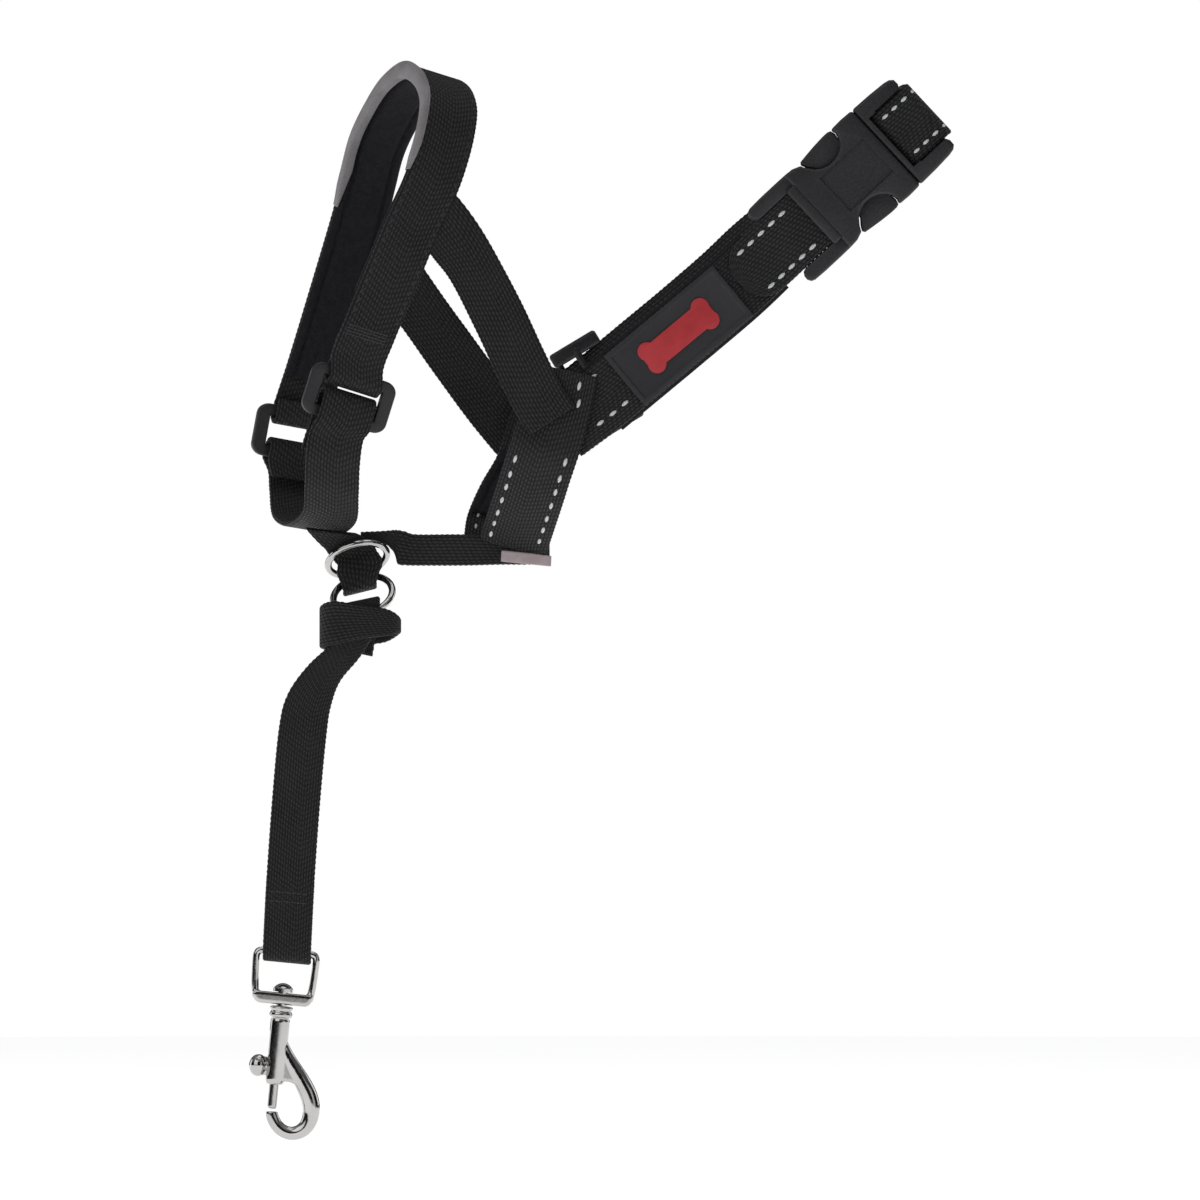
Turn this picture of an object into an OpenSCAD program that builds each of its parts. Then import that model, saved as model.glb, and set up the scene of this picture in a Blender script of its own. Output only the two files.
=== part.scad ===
// Head halter for a dog, as it hangs when worn: nose loop, cheek and throat straps,
// neck loop with side-release buckle, two link rings and a safety strap with bolt snap.
// Origin: middle of the muzzle opening. +Z up, +X towards the neck, -Y the near side.

/* [Webbing] */
// Thickness of the webbing
web_t = 1.6; // [1.2:0.1:1.8]
// Width of the nose webbing
nose_w = 18; // [16:0.5:18]
// Width of the chin strap
chin_w = 18; // [16:0.5:18.5]
// Width of the cheek straps
cheek_w = 17; // [15:0.5:18]
// Width of the throat straps
throat_w = 22; // [18:0.5:22]
// Width of the neck webbing
neck_w = 21; // [16:0.5:21]
// Width of the safety strap
safety_w = 15.4; // [12:0.2:15.4]

/* [Padding] */
// Thickness of the soft lining under the nose and neck webbing
pad_t = 2.2; // [1.5:0.1:2.4]
// Width of the neck lining
pad_w = 23; // [21.5:0.5:24]

/* [Rings] */
// Wire diameter of the two link rings
ring_wire = 2.2; // [1.8:0.1:2.4]
// Radius of the link rings at the middle of the wire
ring_r = 9.6; // [9.4:0.1:9.8]

/* [Buckle] */
// Width of the side-release buckle
buckle_w = 31; // [31:0.5:32]
// Thickness of the socket half
socket_t = 11; // [10:0.5:12]
// Slope of the buckle above the horizontal
buckle_slope = 43; // [42:0.5:44]

/* [Snap] */
// Diameter of the snap's barrel
barrel_d = 6.2; // [6:0.1:6.6]
// Diameter of the sliding bolt
bolt_d = 3; // [2.8:0.1:3]
// Lean of the hanging snap
snap_lean = 5.5; // [5:0.1:6]

/* [Hidden] */
$fn = 48;

gap = 0.1;                 // room between sewn layers
pass = 4;                  // steps between two route stations

// ---- swept ribbons -------------------------------------------------------
// A station is [x, y, z, wx, wy, wz, width]: a point of the middle line, the way
// across the strap and the strap's width there.
function unit(v) = v / norm(v);
function xyz(s) = [s[0], s[1], s[2]];
function across(s) = unit([s[3], s[4], s[5]]);
function mid4(a, b, c, d, t) =
  0.5 * (2 * b + (c - a) * t + (2 * a - 5 * b + 4 * c - d) * t * t + (3 * b - a - 3 * c + d) * t * t * t);
function smooth(s, k) = let (n = len(s)) concat(
  [for (i = [0 : n - 2]) for (j = [0 : k - 1])
    mid4(s[max(i - 1, 0)], s[i], s[i + 1], s[min(i + 2, n - 1)], j / k)], [s[n - 1]]);
function heading(q, i) = unit(xyz(q[min(i + 1, len(q) - 1)]) - xyz(q[max(i - 1, 0)]));
function outward(q, i) = unit(cross(heading(q, i), across(q[i])));
function frame_at(q, i) = [xyz(q[i]), across(q[i]), outward(q, i), q[i][6]];

// A closed sweep of the outline's points [across, out], where across is added to
// side * half of the width.
module sweep(q, outline) {
  n = len(q);
  m = len(outline);
  pts = [for (i = [0 : n - 1]) let (f = frame_at(q, i)) for (p = outline)
    f[0] + f[1] * (p[0] * f[3] / 2 + p[1]) + f[2] * p[2]];
  sides = [for (i = [0 : n - 2]) for (j = [0 : m - 1]) let (k = (j + 1) % m)
    each [[i * m + j, i * m + k, (i + 1) * m + j], [i * m + k, (i + 1) * m + k, (i + 1) * m + j]]];
  first = [for (j = [m - 1 : -1 : 0]) j];
  last = [for (j = [0 : m - 1]) (n - 1) * m + j];
  polyhedron(points = pts, faces = concat([first], sides, [last]), convexity = 6);
}

// A flat strap of thickness t, lifted off its middle line by lift.
function strap_outline(t, lift) =
  [[-1, 0, lift - t / 2], [-1, 0, lift + t / 2], [1, 0, lift + t / 2], [1, 0, lift - t / 2]];
module ribbon(s, t = web_t, lift = 0, k = pass) { sweep(smooth(s, k), strap_outline(t, lift)); }

// Points in the frame of a slider or buckle: f = [origin, along, across, out].
function in_frame(f, s, n, w) = concat(f[0] + f[1] * s + f[3] * n, f[2], [w]);
function make_frame(o, along, side) = [o, unit(along), unit(side), unit(cross(along, side))];
function turn(f, s, r, a0, a1, steps, w) =
  [for (i = [0 : steps]) let (a = a0 + (a1 - a0) * i / steps) in_frame(f, s + r * cos(a), r * sin(a), w)];
function widths(s, w) = [for (p = s) [p[0], p[1], p[2], p[3], p[4], p[5], w]];

// ---- nose loop -----------------------------------------------------------
slider_h = 17;             // nose slider, along the strap
slider_l = 29;             // nose slider, across the strap
slider_t = 2.6;            // its thickness
slider_bar = 3.6;          // its bars, along the strap
slider_rail = 4.4;         // its side rails, across the strap
nose_turn = 2.9;           // middle line of the webbing's fold round a bar
chin_turn = 3.2;
fold_s = 6;                // middle of the folds, from the middle of the slider
chin_fold_s = 2.2;         // the near fold of the chin strap stands well above its bar
near_slider = make_frame([-6.5, -29, -31.5], [-0.30, 0, -0.954], [0.91, 0.30, -0.286]);
far_slider = make_frame([-23.8, 27, -43], [0.18, 0, 0.98], [0.94, 0.30, -0.173]);
nose_side = [0.91, 0.30, -0.28];
nose_limb = [[-20.6, 29.8, -31], [-18.3, 30.3, -24], [-14.9, 30.8, -13], [-11.9, 31, -3], [-8.9, 31, 7],
  [-5.9, 30.5, 17], [-3, 29.3, 27], [0, 26.8, 39], [3, 22.8, 50], [7.6, 17.2, 59.5], [13, 9.5, 67.5],
  [19.5, 0, 72], [24.6, -9.5, 69.5], [27, -17, 63], [26.3, -23, 54.5], [24, -27, 45], [20.5, -29.5, 35],
  [15, -31, 23], [10, -31.8, 11], [5, -32, -1], [0.5, -31.8, -12], [-2.6, -31.4, -20]];
edge_shift = 1;            // the webbing sits this much towards the dog's nose
limb_stations = [for (p = nose_limb) concat(p - edge_shift * unit(nose_side), nose_side, [nose_w])];
dense_limb = smooth(limb_stations, 3);
nose_route = concat(
  [in_frame(far_slider, 10.5, -2.7, nose_w)],
  turn(far_slider, fold_s, nose_turn, 270, 90, 4, nose_w),
  limb_stations,
  turn(near_slider, -fold_s, nose_turn, 90, -90, 4, nose_w),
  [in_frame(near_slider, -19, -2.5, nose_w)]);
lining_gap = web_t / 2 + gap + pad_t / 2;
lining_limb = [for (i = [2 : len(dense_limb) - 7]) dense_limb[i]];
binding_limb = [for (i = [18 : 47]) dense_limb[i]];
binding_t = 0.7;
leg_out = 1.2;             // how far the tape runs over the outer face
leg_in = 2.2;              // and over the inner one
stack_out = web_t / 2 + 2 * gap;
stack_in = -(web_t / 2 + 4 * gap + pad_t);
binding_outline = [[-1, leg_out, stack_out], [-1, -gap, stack_out], [-1, -gap, stack_in],
  [-1, leg_in, stack_in], [-1, leg_in, stack_in - binding_t],
  [-1, -gap - binding_t, stack_in - binding_t], [-1, -gap - binding_t, stack_out + binding_t],
  [-1, leg_out, stack_out + binding_t]];

module nose_webbing() { color("#1d1d20") ribbon(nose_route, k = 3); }
module nose_lining() { color("#2a2a30") ribbon(lining_limb, pad_t, -lining_gap, 1); }
module nose_binding() { color("#a9a3a6") sweep(binding_limb, binding_outline); }

// A plastic rail with round ends, h along and w across.
module rounded_rail(h, w, t) {
  linear_extrude(t, center = true) {
    square([h - w, w], center = true);
    for (e = [-1, 1]) translate([e * (h - w) / 2, 0]) circle(d = w);
  }
}
// The flat loop between the nose webbing and the chin strap: one wide slot.
module nose_slider() {
  inner_h = slider_h - 2 * slider_bar;
  linear_extrude(slider_t, center = true) difference() {
    union() {
      square([slider_h - 2 * slider_rail, slider_l], center = true);
      square([slider_h, slider_l - 2 * slider_rail], center = true);
      for (a = [-1, 1]) for (b = [-1, 1])
        translate([a * (slider_h / 2 - slider_rail), b * (slider_l / 2 - slider_rail)]) circle(r = slider_rail);
    }
    square([inner_h, slider_l - 2 * slider_rail], center = true);
  }
}
// Columns of a frame as a matrix that carries x to along, y to across and z to out.
module to_frame(f) {
  a = f[1];
  s = f[2];
  n = f[3];
  o = f[0];
  multmatrix([[a[0], s[0], n[0], o[0]], [a[1], s[1], n[1], o[1]], [a[2], s[2], n[2], o[2]], [0, 0, 0, 1]])
    children();
}
module nose_slider_near() { color("#2b2a2d") to_frame(near_slider) nose_slider(); }
module nose_slider_far() { color("#2b2a2d") to_frame(far_slider) nose_slider(); }

// ---- chin strap and its tab ----------------------------------------------
chin_side = [0.95, 0.25, -0.16];
chin_u = [[-10.4, -31.6, -44], [-11.5, -30.2, -52], [-11.9, -25.5, -61], [-12.8, -15, -69.3], [-18, 0, -73],
  [-22.8, 15, -70.3], [-24, 25, -62], [-24.5, 29.4, -56]];
chin_route = concat(
  [in_frame(near_slider, 20, -3.5, chin_w), in_frame(near_slider, 10, -3.5, chin_w)],
  turn(near_slider, chin_fold_s, chin_turn, 270, 90, 4, chin_w),
  [in_frame(near_slider, 8.5, 3.4, chin_w)],
  [for (p = chin_u) concat(p, chin_side, [chin_w])],
  [in_frame(far_slider, -9, 3.4, chin_w)],
  turn(far_slider, -fold_s, chin_turn, 90, -90, 4, chin_w),
  [in_frame(far_slider, -9.5, -3.5, chin_w), [-23.4, 23.2, -57.5, 0.95, 0.25, -0.16, chin_w]]);
chin_ring_frame = make_frame([-4, 0, -83], [-0.13, -0.866, 0.483], [0.966, 0, 0.26]);
tab_turn = 3.2;
tab_route = concat(
  [[-10.5, 5.2, -76.2, 0.97, 0.1, -0.1, 13.6], [-7.2, 5.4, -80, 0.96, 0, 0.2, 12.5]],
  [for (i = [0 : 4]) let (a = i * 45) [-2.8, 7.7 - tab_turn * cos(a), -87.4 - tab_turn * sin(a), 0.966, 0, 0.26, 10]],
  [[-7.2, 10.8, -80, 0.96, 0, 0.2, 12.5], [-10.5, 10.6, -76, 0.97, 0.1, -0.1, 13.6]]);
module chin_strap() { color("#1b1b1e") ribbon(chin_route, k = 3); }
module chin_tab() { color("#19191b") ribbon(tab_route, k = 2); }
module link_ring() { rotate_extrude() translate([ring_r, 0]) circle(d = ring_wire, $fn = 24); }
module chin_ring() { color("#d8d8da") to_frame(chin_ring_frame) link_ring(); }

// ---- cheek straps --------------------------------------------------------
cheek_near = [[24.4, -28.0, 24, 0.40, 0.116, 0.909, 20], [32, -29.6, 12, 0.82, 0.02, 0.57, cheek_w],
  [41, -31.6, -5, 0.894, 0, 0.447, cheek_w], [48, -32.2, -20, 0.894, 0, 0.447, cheek_w],
  [54, -32.3, -32, 0.87, 0, 0.5, cheek_w], [58.5, -32.3, -39, 0.84, 0, 0.54, cheek_w]];
cheek_far = [[2.2, 32.8, 15, 0.264, -0.08, 0.96, 20.8], [14, 33.6, 0, 0.8, 0, 0.6, cheek_w],
  [27, 33.4, -18, 0.8, 0, 0.6, cheek_w], [38, 33.2, -33, 0.8, 0, 0.6, cheek_w],
  [47, 33.2, -44, 0.77, 0, 0.64, cheek_w]];
module cheek_strap_near() { color("#1d1d21") ribbon(cheek_near); }
module cheek_strap_far() { color("#1d1d21") ribbon(cheek_far); }

// ---- throat straps, band and loop ----------------------------------------
throat_near = [[63.5, -30.4, -23, 0.97, 0, -0.22, throat_w - 3], [61.5, -30.4, -31, 0.97, 0, -0.22, throat_w - 2],
  [57.5, -30.4, -43, 0.96, 0, -0.27, throat_w], [55.6, -30.3, -49, 0.95, 0, -0.30, throat_w],
  [53.4, -27, -55.5, 0.95, 0, -0.30, throat_w],
  [51, -20.5, -63, 0.95, 0, -0.30, throat_w], [48.3, -12, -71, 0.95, 0, -0.30, throat_w],
  [46.5, -4.5, -76.5, 0.95, 0, -0.30, throat_w], [46, -2.2, -79.5, 0.96, 0, -0.26, throat_w]];
throat_far = [[57, 29.4, -30, 0.9, 0, -0.43, throat_w - 3], [54, 29.4, -42, 0.92, 0, -0.39, throat_w - 1],
  [51, 27.5, -53, 0.93, 0, -0.36, throat_w], [45.8, 21, -62, 0.95, 0, -0.28, throat_w],
  [42, 13, -70.5, 0.97, 0, -0.20, throat_w], [41, 6, -76.5, 0.98, 0, -0.16, throat_w],
  [41, 3.4, -79.5, 0.98, 0, -0.16, throat_w]];
throat_pad_gap = web_t / 2 + gap + 1;
band_t = 3;
band_y = 0.6;
band_route = [[57.5, band_y, -80.6, 0, 0, 1, 6], [52, band_y, -80.4, 0, 0, 1, 8.4], [42, band_y, -80.2, 0, 0, 1, 9],
  [30, band_y, -80, 0, 0, 1, 10], [15, band_y, -80, 0, 0, 1, 10], [11.4, band_y, -79.5, 0, 0, 1, 10.8],
  [8.8, band_y, -77.8, 0, 0, 1, 8], [7.2, band_y, -76.1, 0, 0, 1, 5], [4, band_y, -75.9, 0, 0, 1, 4],
  [-3, band_y, -76.4, 0, 0, 1, 4.4]];
loop_turn = 3.6;
loop_route = concat(
  [[-12.4, -8.2, -74.2, 0.95, 0.16, -0.12, 16.5], [-8.2, -4.8, -77.6, 0.97, 0.05, 0.12, 14.8],
   [-4.4, -2.7, -81.2, 0.966, 0, 0.26, 12.4], [-3.2, -4.7, -85.6, 0.966, 0, 0.26, 15]],
  [for (i = [0 : 4]) let (a = i * 45)
    [-3.2, -2.4 - loop_turn * cos(a), -89.3 - loop_turn * sin(a), 0.97, 0, 0.24, i == 0 ? 12.4 : 11]],
  [[-2.8, 2.0, -84, 0.97, 0, 0.2, 11], [-3.4, 3.1, -79, 0.98, 0, 0.1, 10]]);
label_route = [[42, -4.4, -81.9, 0.05, 0, 1, 3.6], [50, -4.6, -82.7, 0.05, 0, 1, 3.6], [58, -4.4, -83.6, 0.05, 0, 1, 3.4]];
module throat_strap_near() { color("#1f1f22") ribbon(throat_near); }
module throat_strap_far() { color("#1f1f22") ribbon(throat_far); }
module throat_lining_near() {
  color("#2a2a30") ribbon(widths([for (i = [4 : 6]) throat_near[i]], throat_w - 1), 2, -throat_pad_gap);
}
module throat_lining_far() {
  color("#2a2a30") ribbon(widths([for (i = [2 : 4]) throat_far[i]], throat_w - 1), 2, throat_pad_gap);
}
module throat_band() { color("#1a1a1d") ribbon(band_route, band_t); }
module throat_loop() { color("#18181a") ribbon(loop_route, k = 2); }
module label_tab() { color("#b9a8aa") ribbon(label_route, 0.6, k = 2); }

// ---- lead ring -----------------------------------------------------------
lead_ring_frame = make_frame([-2.2, -8.9, -94.5], [-0.15, 0.78, 0.607], [0.97, 0, 0.24]);
module lead_ring() { color("#d8d8da") to_frame(lead_ring_frame) link_ring(); }

// ---- neck loop and buckle ------------------------------------------------
socket_bar_u = 10.9;
plug_bar_u0 = 50;
plug_bar_u1 = 60;
buckle_len = 61;
parting_u = 44.7;
wrap_turn = 2.55;
buckle_frame = make_frame([132, -27, 17.6], [cos(buckle_slope), 0, sin(buckle_slope)],
  [-sin(buckle_slope), 0, cos(buckle_slope)]);
neck_side = [-0.64, 0, 0.77];
neck_near = [[61, -28.2, -42.2], [73.5, -28.6, -33], [81.2, -28.5, -26.6], [98.9, -28, -11.9],
  [116.5, -27.4, 3]];
near_route = concat([for (p = neck_near) concat(p, neck_side, [neck_w])],
  [in_frame(buckle_frame, -6, -1.5, neck_w), in_frame(buckle_frame, 3, -2.5, neck_w)],
  turn(buckle_frame, socket_bar_u, wrap_turn, 270, 450, 6, neck_w),
  [in_frame(buckle_frame, 2, 2.5, neck_w), in_frame(buckle_frame, -8, 1.8, neck_w),
   in_frame(buckle_frame, -16, 2.1, neck_w - 5), in_frame(buckle_frame, -19, 2.2, neck_w - 13)]);
lining_route = concat([for (i = [1 : 4]) concat(neck_near[i], neck_side, [pad_w])],
  [in_frame(buckle_frame, -8, -1.3, pad_w)]);
patch_route = [[81.3, -28.5, -26.3, -0.64, 0, 0.77, 20], [98.9, -28, -11.7, -0.64, 0, 0.77, 20],
  [116, -27.4, 2.7, -0.64, 0, 0.77, 20]];
neck_far = [[58.5, 31.2, -38.5, -0.63, 0, 0.78], [66, 31.2, -32.3, -0.63, 0, 0.78], [77.1, 31.2, -23.2, -0.63, 0, 0.78],
  [88.2, 31.2, -14, -0.63, 0, 0.78], [99.3, 31.2, -4.8, -0.63, 0, 0.78], [113, 30, 7, -0.65, 0, 0.76],
  [126, 27, 19, -0.68, 0, 0.73], [147, 20, 35.5, -0.68, 0, 0.73], [163, 12, 49, -0.68, 0, 0.73],
  [173, 1.5, 58, -0.68, 0, 0.73], [176.6, -9, 60.5, -0.68, 0, 0.73]];
far_route = concat([for (p = neck_far) concat(p, [neck_w])],
  [in_frame(buckle_frame, 62.9, -8, neck_w), in_frame(buckle_frame, 62.9, -5.4, neck_w)]);
wrap_route = concat([in_frame(buckle_frame, 61.1, -4.9, neck_w), in_frame(buckle_frame, 60.2, -3.1, neck_w)],
  [in_frame(buckle_frame, 57.8, -2.5, neck_w)],
  turn(buckle_frame, plug_bar_u0, 2.5, 270, 90, 6, neck_w),
  [in_frame(buckle_frame, 59, 2.5, neck_w), in_frame(buckle_frame, 61.4, 1.7, neck_w),
   in_frame(buckle_frame, 62.7, -0.4, neck_w), in_frame(buckle_frame, 62.9, -2.6, neck_w),
   in_frame(buckle_frame, 62.9, -5.0, neck_w)]);
module neck_strap_near() { color("#1e1e21") ribbon(near_route, k = 3); }
module neck_lining() { color("#303036") ribbon(lining_route, pad_t, -lining_gap); }
module name_patch() { color("#38363b") ribbon(patch_route, 1.4, web_t / 2 + 2 * gap + 0.7); }
module neck_strap_far() { color("#1e1e21") ribbon(far_route, k = 3); }
module plug_strap_wrap() { color("#1e1e21") ribbon(wrap_route, k = 2); }

slider_frame = make_frame([72.5, 31.2, -27], [0.857, 0, 0.515], [-0.515, 0, 0.857]);
neck_slider_l = 32;
neck_slider_h = 17;
neck_rail = 3.4;
module neck_slider() {
  color("#262528") to_frame(slider_frame) {
    for (e = [-1, 1]) translate([0, e * (neck_slider_l - neck_rail) / 2, 0])
      rounded_rail(neck_slider_h, neck_rail, 6);
    for (s = [-1, 0, 1]) translate([s * (neck_slider_h - 3) / 2, 0, s == 0 ? 2.3 : -2.3])
      rotate([90, 0, 0]) cylinder(d = 2.4, h = neck_slider_l - neck_rail, center = true);
  }
}

// The buckle is drawn along x, across y, with z outwards.
half_w = buckle_w / 2;
rail_w = 4.6;
cavity_h = 6.6;
window_u = [21.5, 36.2];
module box(x0, x1, y, z) { translate([x0, -y, -z]) cube([x1 - x0, 2 * y, 2 * z]); }
module buckle_socket() {
  color("#38373b") to_frame(buckle_frame) difference() {
    union() {
      box(14.5, parting_u - 0.1, half_w - 1, socket_t / 2);
      box(14.5, parting_u - 0.1, half_w, socket_t / 2 - 1);
      for (e = [-1, 1]) {
        translate([-0.5, e * (half_w - rail_w / 2) - rail_w / 2, -3]) cube([16, rail_w, 6]);
        translate([-0.5, e * (half_w - rail_w / 2), 0]) cylinder(d = rail_w, h = 6, center = true);
      }
      translate([12, -half_w + rail_w, 3.75]) cube([3, buckle_w - 2 * rail_w, socket_t / 2 - 3.75]);
      translate([socket_bar_u, 0, 0]) rotate([90, 0, 0]) cylinder(d = 3, h = buckle_w - rail_w, center = true);
    }
    box(18.5, parting_u + 1, half_w - 2.9, cavity_h / 2);
    box(window_u[0], window_u[1], half_w + 1, cavity_h / 2 + 0.2);
    translate([30, 0, socket_t / 2]) box(-9, 11, 6.5, 0.35);
  }
}
module buckle_plug() {
  color("#353438") to_frame(buckle_frame) difference() {
    union() {
      box(parting_u + 0.1, buckle_len, half_w, 4);
      box(parting_u + 0.1, buckle_len - 1.5, half_w - 1.5, 4.8);
      box(27, parting_u + 0.2, 2.2, 2.6);
    }
    box(46.5, 49.9, half_w - rail_w, 6);
    for (e = [-1, 1]) translate([0, 0, e * 4.5]) box(49.8, buckle_len + 1, half_w - rail_w, 3);
    box(plug_bar_u1, buckle_len + 1, half_w - rail_w, 6);
  }
}
prong_outline = [[44.5, 6.5], [44.5, 10.4], [38, 11.4], [35.9, 12], [35.9, 15.2], [32, 15.4], [28, 14.4], [24.5, 12.2],
  [22.6, 9.6], [22.6, 7.8], [24.5, 7], [28, 8], [35, 8], [40, 6.8]];
module latch_prong(side) {
  color("#2f2e32") to_frame(buckle_frame) mirror([0, side < 0 ? 1 : 0, 0])
    linear_extrude(5.4, center = true) polygon(prong_outline);
}
module latch_prong_upper() { latch_prong(1); }
module latch_prong_lower() { latch_prong(-1); }

// ---- safety strap --------------------------------------------------------
strap_t = 1.8;
eye_turn = 2.4;
eye_x = -26.4;
eye_y = -11.6;
eye_z = -208.6;
snap_side = [cos(snap_lean), 0, -sin(snap_lean)];
hitch_top = [-15.7, -100];
strap_turn = 3.4;
strap_route = concat(
  [[-4.2, -12.6, -113, 0.96, 0, -0.2, 10.5], [-3, -12.5, -106, 0.97, 0, 0, 10.5]],
  [for (i = [0 : 4]) let (a = i * 45)
    [-1.8, hitch_top[0] + strap_turn * cos(a), hitch_top[1] + strap_turn * sin(a), 0.97, 0, 0.2, 10.5]],
  [[-3.5, -18.7, -106, 0.97, 0, 0, 10.5], [-8, -17.5, -112.5, 0.9, 0, -0.35, 10.5],
   [-14.5, -16.2, -119.5, 0.9, 0, -0.45, 11.5], [-19.2, -15.4, -128, 0.96, 0, -0.25, 14.4],
   [-21.3, -14.8, -138, 0.985, 0, -0.17, safety_w], [-23.4, -14.4, -160, 0.99, 0, -0.1, safety_w],
   [-25.2, -14, -185, 0.99, 0, -0.09, safety_w], [-26, -14, -200, 0.995, 0, -0.096, safety_w]],
  [for (i = [0 : 4]) let (a = 180 + i * 45)
    [eye_x, eye_y + eye_turn * cos(a), eye_z + eye_turn * sin(a), snap_side[0], 0, snap_side[2], safety_w]],
  [[-26, -11.7, -200, 0.995, 0, -0.096, safety_w], [-25.2, -12, -185, 0.99, 0, -0.09, safety_w]]);
hitch_route = [[-3, -10.3, -107.5, 0, 0, 1, 6], [5, -10.9, -107, 0, 0, 1, 5], [9.4, -16, -104.4, 0, 0, 1, 4.6],
  [6, -20.4, -103.2, 0, 0, 1, 8.4], [-3, -21.4, -103, 0, 0, 1, 11], [-11.5, -20.8, -103.4, 0, 0, 1, 14],
  [-15.2, -16, -104.8, 0, 0, 1, 13], [-12, -11.2, -107.5, 0, 0, 1, 9], [-4.6, -10.3, -107.6, 0, 0, 1, 6]];
module safety_strap() { color("#1d1d20") ribbon(strap_route, strap_t, k = 2); }
module hitch_band() { color("#1c1c1f") ribbon(hitch_route, 1.5, k = 3); }

// ---- bolt snap -----------------------------------------------------------
// Drawn upright: the origin is the middle of the eye's lower bar, +z up the swivel.
eye_h = 14.7;
rivet_d = 3.4;
running = 0.08;
module at_snap() {
  translate([eye_x, eye_y, eye_z]) rotate([0, snap_lean, 0]) translate([0, 0, -eye_h]) children();
}
module swivel_eye() {
  color("#c9c9cc") at_snap() {
    difference() {
      union() {
        translate([-8, -1.8, -2]) cube([16, 3.6, 4]);
        for (e = [-1, 1]) {
          translate([e * 8, 0, 0]) rotate([90, 0, 0]) cylinder(r = 2, h = 3.6, center = true);
          translate([e * 8.9, 0, 0.8]) rotate([0, e * 3, 0]) cylinder(d = 2.3, h = 12);
          translate([e * 8.6, 0, 0.6]) sphere(d = 2.6);
          translate([e * 8.9, 0, eye_h]) sphere(d = 2.4);
          translate([e * 9.5, 0, 12.6]) rotate([0, -e * 16, 0]) cylinder(d = 2.2, h = 2.2);
        }
        translate([0, 0, eye_h]) rotate([0, 90, 0]) cylinder(d = 2.4, h = 17.8, center = true);
      }
      translate([0, 0, -4]) cylinder(d = rivet_d + 2 * running, h = 8);
    }
  }
}
module swivel_rivet() {
  color("#bdbdc0") at_snap() {
    translate([0, 0, -4.8]) cylinder(d = rivet_d, h = 7.2);
    translate([0, 0, 2.1]) cylinder(d = 6.4, h = 1);
    translate([0, 0, 3.1]) intersection() {
      translate([0, 0, -1.8]) sphere(r = 3.6);
      cylinder(d = 6.2, h = 3);
    }
  }
}
hook_r = 6.4;
hook_z = -36.2;
hook_wire = 4.2;
web_plate = 3.6;           // solid web between barrel and hook
module rod_between(a, b, d) {
  v = b - a;
  translate(a) rotate([0, atan2(v[0], v[2]), 0]) cylinder(d = d, h = norm(v));
}
module snap_body() {
  color("#cfcfd2") at_snap() difference() {
    union() {
      translate([0, 0, -6]) cylinder(d = 7.4, h = 3.7);
      translate([0, 0, -26]) cylinder(d = barrel_d, h = 20.2);
      translate([hook_r, 0, hook_z]) rotate([90, 0, 0]) rotate([0, 0, 180]) rotate_extrude(angle = 180)
        translate([hook_r, 0]) circle(d = hook_wire, $fn = 24);
      translate([2 * hook_r, 0, hook_z]) sphere(d = hook_wire + 0.4);
      rod_between([2 * hook_r, 0, hook_z], [10.6, 0, -28], 4.6);
      translate([10.6, 0, -28]) sphere(d = 4.6);
      rod_between([10.6, 0, -28], [2.4, 0, -17.5], 4.6);
      rotate([90, 0, 0]) linear_extrude(web_plate, center = true)
        polygon([[1, -14.5], [3.6, -17.2], [11, -27], [9.6, -30], [7.2, -27], [5, -26], [1, -26]]);
    }
    translate([0, 0, -5]) cylinder(d = rivet_d + 0.04, h = 4);
    translate([0, 0, -27]) cylinder(d = bolt_d + 2 * running, h = 18.6);
    translate([-5, -1.2, -27]) cube([5, 2.4, 16.4]);
  }
}
bolt_end = hook_z + 0.6;
knob_z = -22;
module trigger_bolt() {
  color("#b9b9bd") at_snap() {
    translate([0, 0, bolt_end]) cylinder(d = bolt_d, h = -18 - bolt_end);
    translate([-4.2, -1, -25]) cube([4.2, 2, 6]);
    translate([-3.6, 0, knob_z]) rotate([0, -90, 0]) cylinder(d = 6, h = 1.2);
    translate([-4.8, 0, knob_z]) rotate([0, -90, 0]) cylinder(d = 7, h = 1.8);
    translate([-6.6, 0, knob_z]) rotate([0, -90, 0]) cylinder(d1 = 6.6, d2 = 3.8, h = 2);
  }
}
spring_turns = 6;
spring_r = 1.1;
spring_wire = 0.4;
spring_z0 = -17.75;
spring_h = 8.9;
spring_steps = 12;
spring_route = [for (i = [0 : spring_turns * spring_steps]) let (a = i * 360 / spring_steps)
  [spring_r * cos(a), spring_r * sin(a), spring_z0 + spring_h * i / (spring_turns * spring_steps),
   cos(a), sin(a), 0, spring_wire]];
module trigger_spring() {
  color("#8d8d92") at_snap() sweep(spring_route, strap_outline(spring_wire, 0));
}

nose_webbing();
nose_lining();
nose_binding();
nose_slider_near();
nose_slider_far();
chin_strap();
chin_tab();
chin_ring();
cheek_strap_near();
cheek_strap_far();
throat_strap_near();
throat_strap_far();
throat_lining_near();
throat_lining_far();
throat_band();
throat_loop();
label_tab();
lead_ring();
neck_strap_near();
neck_lining();
name_patch();
neck_strap_far();
neck_slider();
buckle_socket();
buckle_plug();
latch_prong_upper();
latch_prong_lower();
plug_strap_wrap();
safety_strap();
hitch_band();
swivel_eye();
swivel_rivet();
snap_body();
trigger_bolt();
trigger_spring();
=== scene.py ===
import math

import bpy
import numpy as np
from mathutils import Matrix, Vector


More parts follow.
